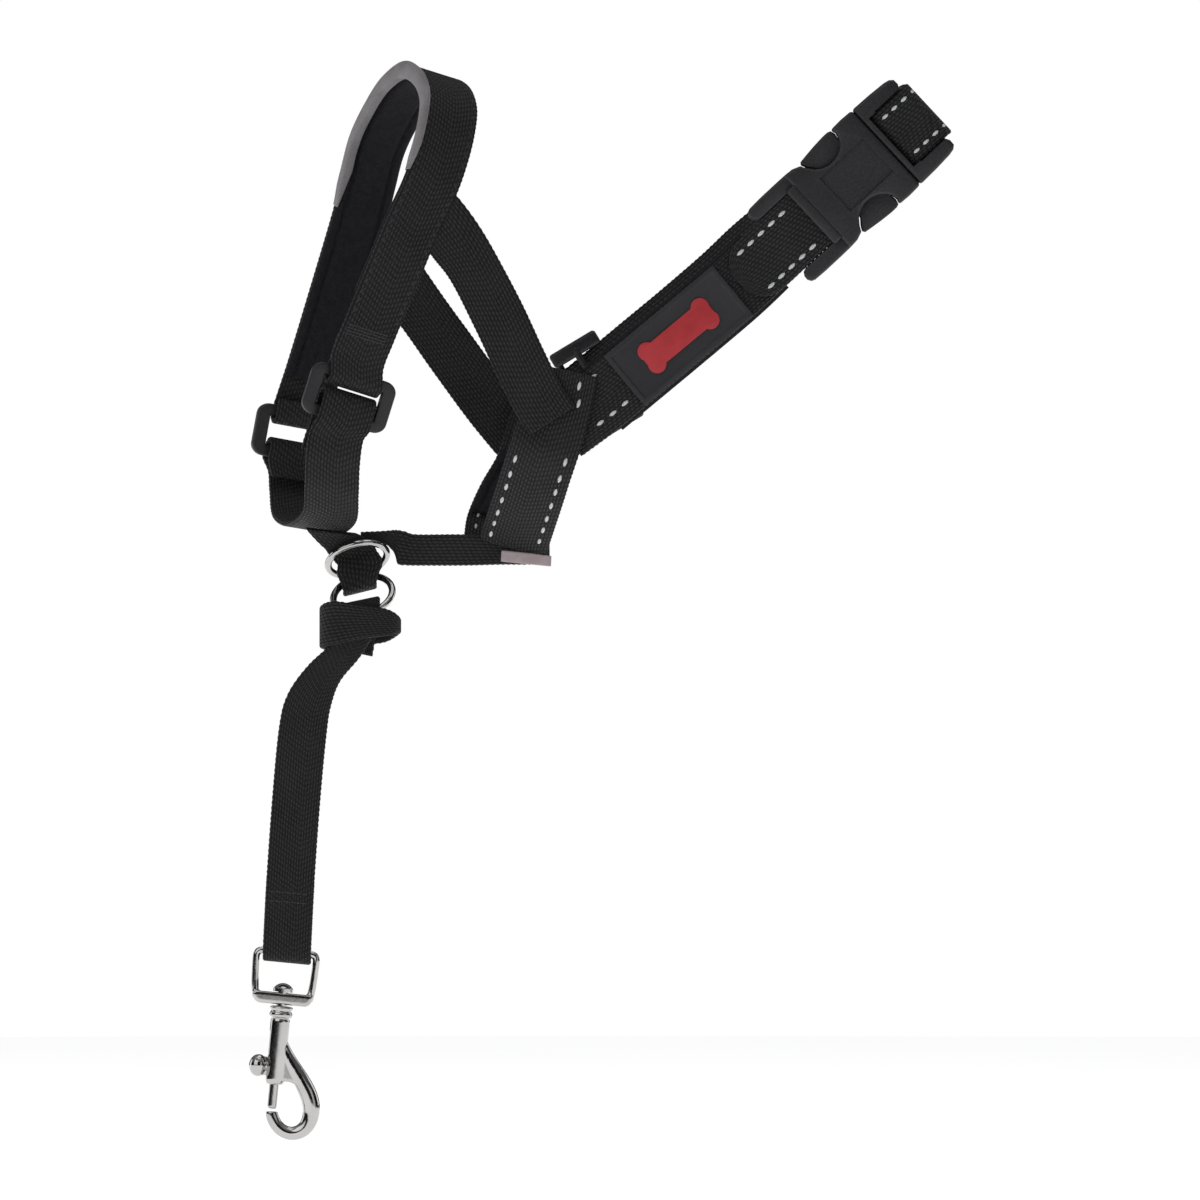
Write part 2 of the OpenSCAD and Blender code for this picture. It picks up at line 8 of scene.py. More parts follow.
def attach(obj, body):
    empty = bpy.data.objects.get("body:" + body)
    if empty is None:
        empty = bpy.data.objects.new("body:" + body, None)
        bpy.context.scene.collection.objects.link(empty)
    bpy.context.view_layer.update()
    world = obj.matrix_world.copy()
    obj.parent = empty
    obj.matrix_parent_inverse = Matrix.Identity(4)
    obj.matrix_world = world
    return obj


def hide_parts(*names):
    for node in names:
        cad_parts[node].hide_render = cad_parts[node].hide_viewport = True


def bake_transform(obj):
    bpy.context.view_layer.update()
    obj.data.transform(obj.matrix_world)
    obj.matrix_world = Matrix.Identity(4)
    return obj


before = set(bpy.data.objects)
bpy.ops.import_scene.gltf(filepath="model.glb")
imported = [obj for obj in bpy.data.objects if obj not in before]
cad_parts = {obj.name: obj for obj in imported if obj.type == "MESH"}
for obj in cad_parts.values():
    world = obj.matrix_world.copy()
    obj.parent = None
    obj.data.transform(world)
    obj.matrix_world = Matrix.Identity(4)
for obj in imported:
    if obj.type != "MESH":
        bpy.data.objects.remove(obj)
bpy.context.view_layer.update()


# ---- Studio ----------------------------------------------------------------
# A pale floor below the hanging halter, a white sky behind it, and soft boxes round
# it: a large one up on the left, weaker ones on the right and above, two rims behind.
middle = Vector((0.0736, 0.0, -0.096))
camera_far = 6.0
view_width = 0.384

bpy.ops.object.camera_add(location=(middle.x, -camera_far, middle.z), rotation=(math.radians(90), 0, 0))
camera = bpy.context.object
camera.data.sensor_width = 36
camera.data.lens = 36 * camera_far / view_width
camera.data.clip_end = 40
bpy.context.scene.camera = camera
bpy.context.scene.view_settings.view_transform = "Standard"


def soft_box(name, place, size, watts):
    """A square soft light that faces the middle of the halter."""
    bpy.ops.object.light_add(type="AREA", location=place)
    box = bpy.context.object
    box.name = name
    box.data.size = size
    box.data.energy = watts
    box.rotation_euler = (middle - Vector(place)).to_track_quat("-Z", "Y").to_euler()
    box.visible_camera = False


soft_box("key_box", (-1.5, -1.9, 1.5), 2.6, 24)
soft_box("fill_box", (1.9, -1.8, 0.1), 1.6, 5)
soft_box("top_box", (0.2, 0.1, 1.8), 1.6, 8)
soft_box("rim_left", (-1.7, 1.2, 0.2), 1.1, 5)
soft_box("rim_right", (1.8, 1.2, 0.4), 1.1, 5)


class Wire:
    """The output socket of a node in a material, which can be added, multiplied and divided."""

    def __init__(self, tree, socket=None):
        self.tree = tree
        self.socket = socket

    def node(self, kind, settings=None, inputs=None, output=0):
        made = self.tree.nodes.new(kind)
        for name, value in (settings or {}).items():
            if name == "stops":
                stops = made.color_ramp.elements
                while len(stops) < len(value):
                    stops.new(0.5)
                for stop, (place, shade) in zip(stops, value):
                    stop.position = place
                    stop.color = (*shade, 1)
            else:
                setattr(made, name, value)
        for name, value in (inputs or {}).items():
            if isinstance(value, Wire):
                self.tree.links.new(value.socket, made.inputs[name])
            else:
                made.inputs[name].default_value = value
        return Wire(self.tree, made.outputs[output])

    def other(self, output):
        return Wire(self.tree, self.socket.node.outputs[output])

    def math(self, operation, first, second=0.0):
        return self.node("ShaderNodeMath", {"operation": operation}, {0: first, 1: second})

    def into(self, shader, name):
        self.tree.links.new(self.socket, shader.inputs[name])

    def __add__(self, value):
        return self.math("ADD", self, value)

    __radd__ = __add__

    def __sub__(self, value):
        return self.math("SUBTRACT", self, value)

    def __rsub__(self, value):
        return self.math("SUBTRACT", value, self)

    def __mul__(self, value):
        return self.math("MULTIPLY", self, value)

    __rmul__ = __mul__

    def __truediv__(self, value):
        return self.math("DIVIDE", self, value)

    def __abs__(self):
        return self.math("ABSOLUTE", self)

    def floor(self):
        return self.math("FLOOR", self)

    def fraction(self):
        return self.math("FRACT", self)


def new_finish(name, **constants):
    """A new material and its shader, with the shader's plain numbers and colours set."""
    finish = bpy.data.materials.new(name)
    finish.use_nodes = True
    shader = finish.node_tree.nodes["Principled BSDF"]
    for socket, value in constants.items():
        shader.inputs[socket.replace("_", " ")].default_value = value
    return finish, shader, Wire(finish.node_tree)


def even_finish(name, scale, detail, stops, rough, depth=0.0, **constants):
    """A finish whose colour, gloss and relief all follow one fine unevenness."""
    finish, shader, wire = new_finish(name, **constants)
    uneven = mottle(wire, scale, detail)
    tint(wire, shader, stops, uneven)
    (rough[0] + uneven * rough[1]).into(shader, "Roughness")
    if depth:
        relief(wire, shader, uneven, depth)
    return finish


def mottle(wire, scale, detail=3.0):
    """Fine unevenness, from 0 to 1, that is fixed in the piece."""
    place = wire.node("ShaderNodeTexCoord", output=3)
    return wire.node("ShaderNodeTexNoise", inputs={"Vector": place, "Scale": scale, "Detail": detail})


def grains(wire, scale):
    """Fine round grains that are fixed in the piece, each darkest at its middle."""
    place = wire.node("ShaderNodeTexCoord", output=3)
    return wire.node("ShaderNodeTexVoronoi", inputs={"Vector": place, "Scale": scale})


def tint(wire, shader, stops, amount):
    """Colours the surface through these stops as the amount rises."""
    wire.node("ShaderNodeValToRGB", {"stops": stops}, {0: amount}).into(shader, "Base Color")


def relief(wire, shader, height, depth, strength=1.0):
    """Raises the surface by height times depth, in metres."""
    wire.node("ShaderNodeBump", inputs={"Height": height, "Distance": depth, "Strength": strength}).into(
        shader, "Normal")


sky = bpy.data.worlds.new("white_sky")
sky.use_nodes = True
bpy.context.scene.world = sky
sky_wire = Wire(sky.node_tree)
seen = sky_wire.node("ShaderNodeLightPath")
up = sky_wire.node("ShaderNodeSeparateXYZ", inputs={0: sky_wire.node("ShaderNodeTexCoord")}, output=2)
room_stops = [(0.2, (0.20, 0.20, 0.21)), (0.42, (0.008, 0.008, 0.009)), (0.68, (0.012, 0.012, 0.013)),
              (0.9, (0.30, 0.30, 0.31))]
room_shade = sky_wire.node("ShaderNodeValToRGB", {"stops": room_stops}, {0: up * 0.5 + 0.5})
white = (1, 1, 1, 1)
shown = sky_wire.node("ShaderNodeMix", {"data_type": "RGBA"}, {0: seen, 6: room_shade, 7: white}, output=2)
shown.into(sky.node_tree.nodes["Background"], "Color")

floor_z = -0.31
bpy.ops.object.select_all(action="DESELECT")
bpy.ops.mesh.primitive_circle_add(vertices=96, radius=3.2, fill_type="NGON", location=(middle.x, 0, floor_z))
floor = bpy.context.object
floor.name = "studio_floor"
floor_finish, floor_shader, wire = new_finish(
    "floor_paint", Roughness=0.85, Emission_Color=white, Emission_Strength=0.75)
tint(wire, floor_shader, [(0.3, (0.90, 0.90, 0.90)), (0.7, (0.94, 0.94, 0.94))], mottle(wire, 6))
floor.data.materials.append(floor_finish)


# ---- Nose webbing ----------------------------------------------------------
# One length of black woven polyester, 18 mm wide, arched over the dog's nose. Both
# ends are folded round the upper bars of the two sliders and sewn back on themselves.
MM = 0.001


def unit(v):
    return np.asarray(v, float) / np.linalg.norm(v)


def run_along(points):
    """How far each point lies along the line through all of them."""
    return np.concatenate([[0], np.cumsum(np.linalg.norm(np.diff(points, axis=0), axis=1))])


class Line:
    """The way a strap runs: its middle line, the ways across and out of it, and its width."""

    def __init__(self, stations, spacing=0.5):
        s = np.array(stations, float)
        s[:, 3:6] /= np.linalg.norm(s[:, 3:6], axis=1)[:, None]
        ends = np.vstack([s[:1], s, s[-1:]])
        t = np.linspace(0, 1, 24, endpoint=False)[:, None]
        fine = [0.5 * (2 * b + (c - a) * t + (2 * a - 5 * b + 4 * c - d) * t**2
                       + (3 * b - a - 3 * c + d) * t**3)
                for a, b, c, d in zip(ends, ends[1:], ends[2:], ends[3:])]
        fine = np.vstack(fine + [s[-1:]])
        run = run_along(fine[:, :3])
        self.length = run[-1]
        self.at = np.linspace(0, self.length, max(8, round(self.length / spacing)) + 1)
        q = np.column_stack([np.interp(self.at, run, fine[:, k]) for k in range(7)])
        heading = np.gradient(q[:, :3], axis=0)
        self.heading = heading / np.linalg.norm(heading, axis=1)[:, None]
        self.across = q[:, 3:6] / np.linalg.norm(q[:, 3:6], axis=1)[:, None]
        outward = np.cross(self.heading, self.across)
        self.outward = outward / np.linalg.norm(outward, axis=1)[:, None]
        self.middle = q[:, :3]
        self.width = q[:, 6]

    def part(self, start, end):
        """The stretch of this line between two distances from its start."""
        kept = (self.at >= start) & (self.at <= end)
        piece = object.__new__(Line)
        piece.at = self.at[kept] - self.at[kept][0]
        piece.length = piece.at[-1]
        for name in ("heading", "across", "outward", "middle", "width"):
            setattr(piece, name, getattr(self, name)[kept])
        return piece

    def spot(self, distance, side, out):
        """A point at that distance along, that far across from the middle and out, all in mm."""
        k = int(np.argmin(abs(self.at - distance)))
        place = self.middle[k] + self.across[k] * side + self.outward[k] * out
        return place, self.heading[k], self.across[k], self.outward[k]


def only(*pieces):
    """Selects these pieces alone and makes the first one active."""
    bpy.ops.object.select_all(action="DESELECT")
    for piece in pieces:
        piece.select_set(True)
    bpy.context.view_layer.objects.active = pieces[0]


def face_outward(close=False):
    """Turns every face of the active piece outward, and first closes its seams and ends if asked."""
    bpy.ops.object.mode_set(mode="EDIT")
    bpy.ops.mesh.select_all(action="SELECT")
    if close:
        bpy.ops.mesh.remove_doubles(threshold=1e-6)
        bpy.ops.mesh.fill_holes(sides=0)
    bpy.ops.mesh.normals_make_consistent(inside=False)
    bpy.ops.object.mode_set(mode="OBJECT")


def dress(piece, finish, body, node):
    """Gives a piece its finish and the body it rides on, and hides the CAD solid that it stands for."""
    piece.data.materials.append(finish)
    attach(piece, body)
    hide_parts(node)


def sweep(name, line, section):
    """A closed sleeve drawn along a line. section(k) gives the outline there, [across, out] in mm."""
    rings = np.array([section(k) for k in range(len(line.at))])
    count = rings.shape[1]
    closed = np.concatenate([rings, rings[:, :1]], axis=1)
    places = (line.middle[:, None] + line.across[:, None] * closed[..., :1]
              + line.outward[:, None] * closed[..., 1:]) * MM
    girth = run_along(closed[len(rings) // 2])
    bpy.ops.object.select_all(action="DESELECT")
    bpy.ops.mesh.primitive_grid_add(x_subdivisions=len(line.at) - 1, y_subdivisions=count, size=2)
    piece = bpy.context.object
    piece.name = name
    mesh = piece.data
    flat = np.zeros(len(mesh.vertices) * 3)
    mesh.vertices.foreach_get("co", flat)
    flat = flat.reshape(-1, 3)
    i = np.rint((flat[:, 0] + 1) / 2 * (len(line.at) - 1)).astype(int)
    j = np.rint((flat[:, 1] + 1) / 2 * count).astype(int)
    mesh.vertices.foreach_set("co", places[i, j].ravel())
    corner = np.zeros(len(mesh.loops), int)
    mesh.loops.foreach_get("vertex_index", corner)
    mesh.uv_layers[0].name = "lay"
    mesh.uv_layers[0].data.foreach_set(
        "uv", np.column_stack([line.at[i[corner]], girth[j[corner]]]).ravel() * MM)
    face_outward(close=True)
    bpy.ops.object.shade_smooth()
    return piece


def woven_section(line, thick, lift=0.0, ripple=0.10):
    """The outline of flat webbing with rounded, slightly scalloped edges and drawn-in cut ends."""
    edge = np.radians([60, 30, 0, -30, -60])
    face = np.linspace(-1, 1, 13)
    last = len(line.at) - 1

    def outline(k):
        drawn = 0.55 if k in (0, last) else 1.0
        half = line.width[k] / 2 - 0.25 * (1 - drawn)
        h = thick / 2 * drawn
        r = 0.6
        wave = ripple * math.sin(line.at[k] * 2 * math.pi / 1.7)
        flat_half = half - r
        top = [(a * flat_half, h) for a in face]
        right = [(flat_half + (r + wave) * math.cos(e), h * math.sin(e)) for e in edge]
        under = [(-a * flat_half, -h) for a in face]
        left = [(-flat_half - (r - wave) * math.cos(e), -h * math.sin(e)) for e in edge]
        return [(a, o + lift) for a, o in top + right + under + left]

    return outline


def weave(name, rib, pick, dark, light, depth):
    """Webbing: rows of warp yarns that dip under each other a step later in each row."""
    finish, shader, wire = new_finish(
        name, Sheen_Weight=0.03, Sheen_Roughness=0.45, Specular_IOR_Level=0.17)
    lay = wire.node("ShaderNodeSeparateXYZ", inputs={0: wire.node("ShaderNodeUVMap", {"uv_map": "lay"})})
    face_middle = 0.0095
    rows = abs(lay.other(1) - face_middle) / rib
    row = rows.floor()
    yarn = 1 - abs(rows.fraction() * 2 - 1)
    step = (lay / pick + row * 0.3).fraction()
    hump = 1 - abs(step * 2 - 1)
    height = wire.math("MINIMUM", yarn * 1.6, 1.0) * (hump * 0.75 + 0.25)
    fibre = mottle(wire, 900, 4)
    cloudy = mottle(wire, 70, 2)
    # The colour rises with the yarn height: painted shade darkens the gaps between the yarns and a painted
    # highlight lightens the yarn tops, while the fibre and cloud noise add random tone.
    shade = height * 0.6 + fibre * 0.25 + cloudy * 0.25
    tint(wire, shader, [(0.15, dark), (0.95, light)], shade)
    (0.72 - height * 0.22 + fibre * 0.08).into(shader, "Roughness")
    relief(wire, shader, height + fibre * 0.35, depth, 0.9)
    return finish


# The darker colour is the webbing's black, also used as painted shade in the yarn gaps; the lighter one is a
# painted highlight on the yarn tops.
webbing_finish = weave("black_webbing", 0.00105, 0.0018,
                       (0.0010, 0.0010, 0.0013), (0.038, 0.038, 0.040), 0.00036)

web_t = 1.6
nose_w = 18


def fitting_frame(origin, along, side):
    """The frame of a slider or buckle: its middle, and the ways along, across and out, in mm."""
    along, side = unit(along), unit(side)
    return np.array(origin, float), along, side, unit(np.cross(along, side))


def in_frame(fitting, along, out, width):
    origin, a, s, n = fitting
    return [*(origin + a * along + n * out), *s, width]


def turn(fitting, along, radius, start, end, steps, width):
    """Stations round a bar that lies across the fitting."""
    angles = np.radians(np.linspace(start, end, steps + 1))
    return [in_frame(fitting, along + radius * math.cos(a), radius * math.sin(a), width) for a in angles]


near_slider = fitting_frame([-6.5, -29, -31.5], [-0.30, 0, -0.954], [0.91, 0.30, -0.286])
far_slider = fitting_frame([-23.8, 27, -43], [0.18, 0, 0.98], [0.94, 0.30, -0.173])
fold_at_bar = 6
nose_turn = 2.9
nose_side = unit([0.91, 0.30, -0.28])
nose_arch = [[-20.6, 29.8, -31], [-18.3, 30.3, -24], [-14.9, 30.8, -13], [-11.9, 31, -3], [-8.9, 31, 7],
             [-5.9, 30.5, 17], [-3, 29.3, 27], [0, 26.8, 39], [3, 22.8, 50], [7.6, 17.2, 59.5],
             [13, 9.5, 67.5], [19.5, 0, 72], [24.6, -9.5, 69.5], [27, -17, 63], [26.3, -23, 54.5],
             [24, -27, 45], [20.5, -29.5, 35], [15, -31, 23], [10, -31.8, 11], [5, -32, -1],
             [0.5, -31.8, -12], [-2.6, -31.4, -20]]
arch_stations = [[*(np.array(p) - nose_side), *nose_side, nose_w] for p in nose_arch]
nose_line = Line(
    [in_frame(far_slider, 10.5, -2.7, nose_w)]
    + turn(far_slider, fold_at_bar, nose_turn, 270, 90, 4, nose_w)
    + arch_stations
    + turn(near_slider, -fold_at_bar, nose_turn, 90, -90, 4, nose_w)
    + [in_frame(near_slider, -19, -2.5, nose_w)])

nose_webbing = sweep("nose_webbing_cloth", nose_line, woven_section(nose_line, web_t))
dress(nose_webbing, webbing_finish, "halter", "nose_webbing")

# Stitches: short lengths of thread that lie on the webbing and dip into it at both
# ends. One is modelled and copied along each seam.
thread_finish = even_finish(
    "black_thread", 2600, 2, [(0.3, (0.006, 0.006, 0.007)), (0.8, (0.030, 0.030, 0.034))],
    (0.45, 0.2), 0.0001, Specular_IOR_Level=0.5)


def stitch_once(long, wide, high):
    """One stitch at the origin, along X: a slim bead with pinched ends."""
    bpy.ops.object.select_all(action="DESELECT")
    bpy.ops.mesh.primitive_uv_sphere_add(segments=8, ring_count=6, radius=0.5, rotation=(0, math.pi / 2, 0))
    stitch = bpy.context.object
    bpy.ops.object.transform_apply(location=True, rotation=True, scale=True)
    for v in stitch.data.vertices:
        towards_end = (v.co.x * 2) ** 2
        fat = max(0.35, 1 - towards_end**2 * 0.5)
        v.co = (v.co.x * long * MM, v.co.y * wide * fat * MM, (v.co.z * fat - 0.12 * towards_end) * high * MM)
    bpy.ops.object.shade_smooth()
    return stitch


def sew(name, spots, finish, body, long=2.6, wide=0.95, high=0.7):
    """Copies one stitch to each spot, (place, heading, across, outward), and joins them."""
    first = stitch_once(long, wide, high)
    copies = []
    for place, heading, across, outward in spots:
        side = unit(np.cross(outward, heading))
        turned = Matrix([[heading[r], side[r], outward[r], place[r] * MM] for r in range(3)] + [[0, 0, 0, 1]])
        copy = first.copy()
        copy.data = first.data.copy()
        bpy.context.collection.objects.link(copy)
        copy.data.transform(turned)
        copies.append(copy)
    bpy.data.objects.remove(first)
    only(*copies)
    bpy.ops.object.join()
    stitches = bpy.context.object
    stitches.name = name
    stitches.data.materials.append(finish)
    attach(stitches, body)


def seam(line, start, end, side, out, pitch):
    """Spots for stitches from start to end along a line, at that distance across it."""
    count = max(1, round((end - start) / pitch))
    return [line.spot(start + (end - start) * (k + 0.5) / count, side, out) for k in range(count)]


def edge_seams(line, start, end, side, out, pitch):
    """Spots for two seams, one along each edge of a strap."""
    return seam(line, start, end, side, out, pitch) + seam(line, start, end, -side, out, pitch)


def bar_tack(line, start, end, width, out, rows=4):
    """Spots for a box of close stitches across a strap."""
    pitch = 1.7
    spots = []
    for at in np.linspace(start, end, rows):
        for side in np.arange(-width / 2, width / 2 + 0.1, pitch):
            place, heading, across, outward = line.spot(at, side, out)
            spots.append((place, across, heading, outward))
    return spots


fold_at = 13 + math.pi * nose_turn
tail = nose_line.length - fold_at
tack_w = 13
tack_near, tack_far = 14, 17
sew("nose_fold_stitches",
    bar_tack(nose_line, tail - tack_far, tail - tack_near, tack_w, web_t / 2)
    + bar_tack(nose_line, fold_at + tack_near, fold_at + tack_far, tack_w, web_t / 2)
    + edge_seams(nose_line, fold_at + 22, tail - 20, 7.4, web_t / 2, 3.4),
    thread_finish, "halter", long=2.0, wide=0.5, high=0.22)


# ---- Nose lining and binding ----------------------------------------------
# A soft neoprene strip faced with black jersey lies inside the nose webbing, sewn down
# along both sides so that its middle stands proud. A grey reflective tape is folded
# over the front edge at the bridge and runs out to a point at both ends.
lining_finish, lining_shader, wire = new_finish(
    "jersey_lining", Sheen_Weight=0.05, Sheen_Roughness=0.5, Specular_IOR_Level=0.14)
loops = grains(wire, 1500)
nap = mottle(wire, 500, 4)
tint(wire, lining_shader, [(0.2, (0.004, 0.004, 0.005)), (0.8, (0.017, 0.017, 0.020))],
     nap * 0.7 + loops * 0.4)
(0.78 + nap * 0.12).into(lining_shader, "Roughness")
relief(wire, lining_shader, loops * 0.5 + nap, 0.00012)

pad_t = 2.2
lining_lift = -(web_t / 2 + 0.1 + pad_t / 2)
arch_line = Line(arch_stations)


def padded_section(line, thick, lift, inner=-1):
    """A soft strip whose inner face swells between two sewn grooves."""
    inset, plump = 3.0, 0.6
    face = np.linspace(-1, 1, 41)
    last = len(line.at) - 1

    def outline(k):
        near_end = min(1.0, 0.45 + min(k, last - k) * 0.12)
        half = line.width[k] / 2
        h = thick / 2
        groove = np.exp(-((abs(face * half) - (half - inset)) / 0.7) ** 2)
        swell = 1 - np.clip(abs(face) * half / (half - inset), 0, 1) ** 4
        edge = 1 - 0.75 * abs(face) ** 14
        puckered = 1 + 0.12 * math.sin(line.at[k] * 2 * math.pi / 3.2)
        soft = (h * edge + plump * swell * 0.5 - 1.0 * groove * puckered) * near_end
        plain = h * edge * near_end
        outside = [(a * half, -inner * p) for a, p in zip(face, plain)]
        inside = [(-a * half, inner * s) for a, s in zip(face, soft)]
        return [(a, o + lift) for a, o in outside + inside]

    return outline


lining_line = arch_line.part(4.9, arch_line.length - 20.5)
nose_lining = sweep("nose_lining_pad", lining_line, padded_section(lining_line, pad_t, lining_lift))
dress(nose_lining, lining_finish, "halter", "nose_lining")

binding_finish, binding_shader, wire = new_finish(
    "reflective_tape", Sheen_Weight=0.1, Specular_IOR_Level=0.5)
beads = grains(wire, 2600)
worn = mottle(wire, 160, 4)
tint(wire, binding_shader, [(0.2, (0.11, 0.103, 0.108)), (0.8, (0.24, 0.226, 0.234))],
     worn * 0.7 + beads * 0.4)
(0.42 + worn * 0.2).into(binding_shader, "Roughness")
relief(wire, binding_shader, beads, 0.00006)

past_bridge = (arch_line.middle[:, 0] > 20) & (arch_line.middle[:, 1] < -20)
tip_height = 38.6
tip = arch_line.at[past_bridge][np.argmin(abs(arch_line.middle[past_bridge, 2] - tip_height))]
binding_line = arch_line.part(62, tip)
tape_t = 0.7
outer_face = web_t / 2 + 0.2
inner_face = -(web_t / 2 + 0.4 + pad_t)


def tape_section(k):
    at = binding_line.at[k]
    fade = min(1.0, at / 13, (binding_line.length - at) / 9)
    over, under = 0.2 + 0.9 * fade, 0.3 + 1.9 * fade
    t = 0.15 + (tape_t - 0.15) * min(1.0, 2 * fade)
    front = -binding_line.width[k] / 2
    deep = (outer_face - inner_face) / 2
    centre = (outer_face + inner_face) / 2
    bow = np.radians(np.linspace(90, 270, 13))
    outer = [(front + over, centre + deep + t * 0.5)] + [
        (front + (0.15 + t) * math.cos(b), centre + (deep + t) * math.sin(b)) for b in bow] + [
        (front + under, centre - deep - t * 0.5)]
    inner = [(front + under, centre - deep)] + [
        (front + 0.1 * math.cos(b), centre + deep * math.sin(b)) for b in bow[::-1]] + [
        (front + over, centre + deep)]
    return outer + inner


binding = sweep("nose_binding_tape", binding_line, tape_section)
dress(binding, binding_finish, "halter", "nose_binding")


# ---- Nose sliders ----------------------------------------------------------
# Two flat moulded nylon loops, 17 by 29 mm, with one wide slot each. The nose webbing
# is folded round the upper bar and the chin strap round the lower one.
plastic_finish, plastic_shader, wire = new_finish("black_moulding", Specular_IOR_Level=0.36)
grain = grains(wire, 1100)
handled = mottle(wire, 45, 4)
tint(wire, plastic_shader, [(0.25, (0.013, 0.0125, 0.014)), (0.8, (0.024, 0.023, 0.026))],
     handled * 0.7 + grain * 0.3)
(0.34 + handled * 0.16 + grain * 0.06).into(plastic_shader, "Roughness")
relief(wire, plastic_shader, grain + handled * 0.5, 0.00005, 0.6)


def placed(piece, fitting):
    """Moves a piece drawn at the origin, x along, y across, z out, to its fitting."""
    origin, a, s, n = fitting
    piece.data.transform(Matrix([[a[r], s[r], n[r], origin[r] * MM] for r in range(3)] + [[0, 0, 0, 1]]))


def apply_modifier(piece, kind, **settings):
    only(piece)
    modifier = piece.modifiers.new(kind.lower(), kind)
    for name, value in settings.items():
        setattr(modifier, name, value)
    bpy.ops.object.modifier_apply(modifier=modifier.name)


def round_over(piece, radius, segments=4, sharper_than=60):
    """Rounds the edges of a piece that turn by more than this many degrees."""
    apply_modifier(piece, "BEVEL", width=radius * MM, segments=segments, limit_method="ANGLE",
                   angle_limit=math.radians(sharper_than))


def pick(piece, kind, wanted):
    """Goes into edit mode on a piece, with only those faces or vertices selected that are wanted."""
    only(piece)
    bpy.ops.object.mode_set(mode="EDIT")
    bpy.ops.mesh.select_mode(type=kind)
    bpy.ops.mesh.select_all(action="DESELECT")
    bpy.ops.object.mode_set(mode="OBJECT")
    for part in piece.data.polygons if kind == "FACE" else piece.data.vertices:
        part.select = wanted(part)
    bpy.ops.object.mode_set(mode="EDIT")


def flat_loop(name, long, high, rail, bar, thick, corner, edge):
    """A moulded loop: a grid with its middle cell left open, thickened and rounded."""
    columns = [-high / 2, bar - high / 2, high / 2 - bar, high / 2]
    rows = [-long / 2, rail - long / 2, long / 2 - rail, long / 2]
    bpy.ops.object.select_all(action="DESELECT")
    bpy.ops.mesh.primitive_grid_add(x_subdivisions=3, y_subdivisions=3, size=2)
    piece = bpy.context.object
    piece.name = name
    for v in piece.data.vertices:
        v.co = (columns[round((v.co.x + 1) * 1.5)] * MM, rows[round((v.co.y + 1) * 1.5)] * MM, 0)
    piece.data.update()
    pick(piece, "FACE", lambda face: face.center.length < MM)
    bpy.ops.mesh.delete(type="FACE")
    bpy.ops.object.mode_set(mode="OBJECT")
    outer = columns[-1] * MM - 1e-7, rows[-1] * MM - 1e-7
    pick(piece, "VERT", lambda v: abs(v.co.x) > outer[0] and abs(v.co.y) > outer[1])
    bpy.ops.mesh.bevel(offset=corner * MM, segments=6, affect="VERTICES")
    bpy.ops.object.mode_set(mode="OBJECT")
    apply_modifier(piece, "SOLIDIFY", thickness=thick * MM, offset=0)
    round_over(piece, edge, sharper_than=50)
    face_outward()
    bpy.ops.object.shade_smooth_by_angle(angle=math.radians(40))
    return piece


for node, body, fitting in (("nose_slider_near", "near_slider", near_slider),
                            ("nose_slider_far", "far_slider", far_slider)):
    slider = flat_loop(node + "_moulding", long=29, high=17, rail=4.4, bar=3.6,
                       thick=2.6, corner=4.2, edge=0.95)
    placed(slider, fitting)
    dress(slider, plastic_finish, body, node)


# ---- Chin strap and its tab ------------------------------------------------
# A short strap of the same webbing hangs in a U under the jaw between the sliders. A
# folded tab is sewn under its lowest point and holds the upper ring.
chin_w = 18
chin_turn = 3.2
chin_side = [0.95, 0.25, -0.16]
chin_u = [[-10.4, -31.6, -44], [-11.5, -30.2, -52], [-11.9, -25.5, -61], [-12.8, -15, -69.3], [-18, 0, -73],
          [-22.8, 15, -70.3], [-24, 25, -62], [-24.5, 29.4, -56]]
chin_line = Line(
    [in_frame(near_slider, 20, -3.5, chin_w), in_frame(near_slider, 10, -3.5, chin_w)]
    + turn(near_slider, 2.2, chin_turn, 270, 90, 4, chin_w)
    + [in_frame(near_slider, 8.5, 3.4, chin_w)]
    + [[*p, *chin_side, chin_w] for p in chin_u]
    + [in_frame(far_slider, -9, 3.4, chin_w)]
    + turn(far_slider, -fold_at_bar, chin_turn, 90, -90, 4, chin_w)
    + [in_frame(far_slider, -9.5, -3.5, chin_w), [-23.4, 23.2, -57.5, *chin_side, chin_w]])
chin_strap = sweep("chin_strap_cloth", chin_line, woven_section(chin_line, web_t))
tab_turn = 3.2
tab_line = Line(
    [[-10.5, 5.2, -76.2, 0.97, 0.1, -0.1, 13.6], [-7.2, 5.4, -80, 0.96, 0, 0.2, 12.5]]
    + [[-2.8, 7.7 - tab_turn * math.cos(a), -87.4 - tab_turn * math.sin(a), 0.966, 0, 0.26, 10]
       for a in np.radians([0, 45, 90, 135, 180])]
    + [[-7.2, 10.8, -80, 0.96, 0, 0.2, 12.5], [-10.5, 10.6, -76, 0.97, 0.1, -0.1, 13.6]])
chin_tab = sweep("chin_tab_cloth", tab_line, woven_section(tab_line, web_t))
for piece, node in ((chin_strap, "chin_strap"), (chin_tab, "chin_tab")):
    dress(piece, webbing_finish, "halter", node)


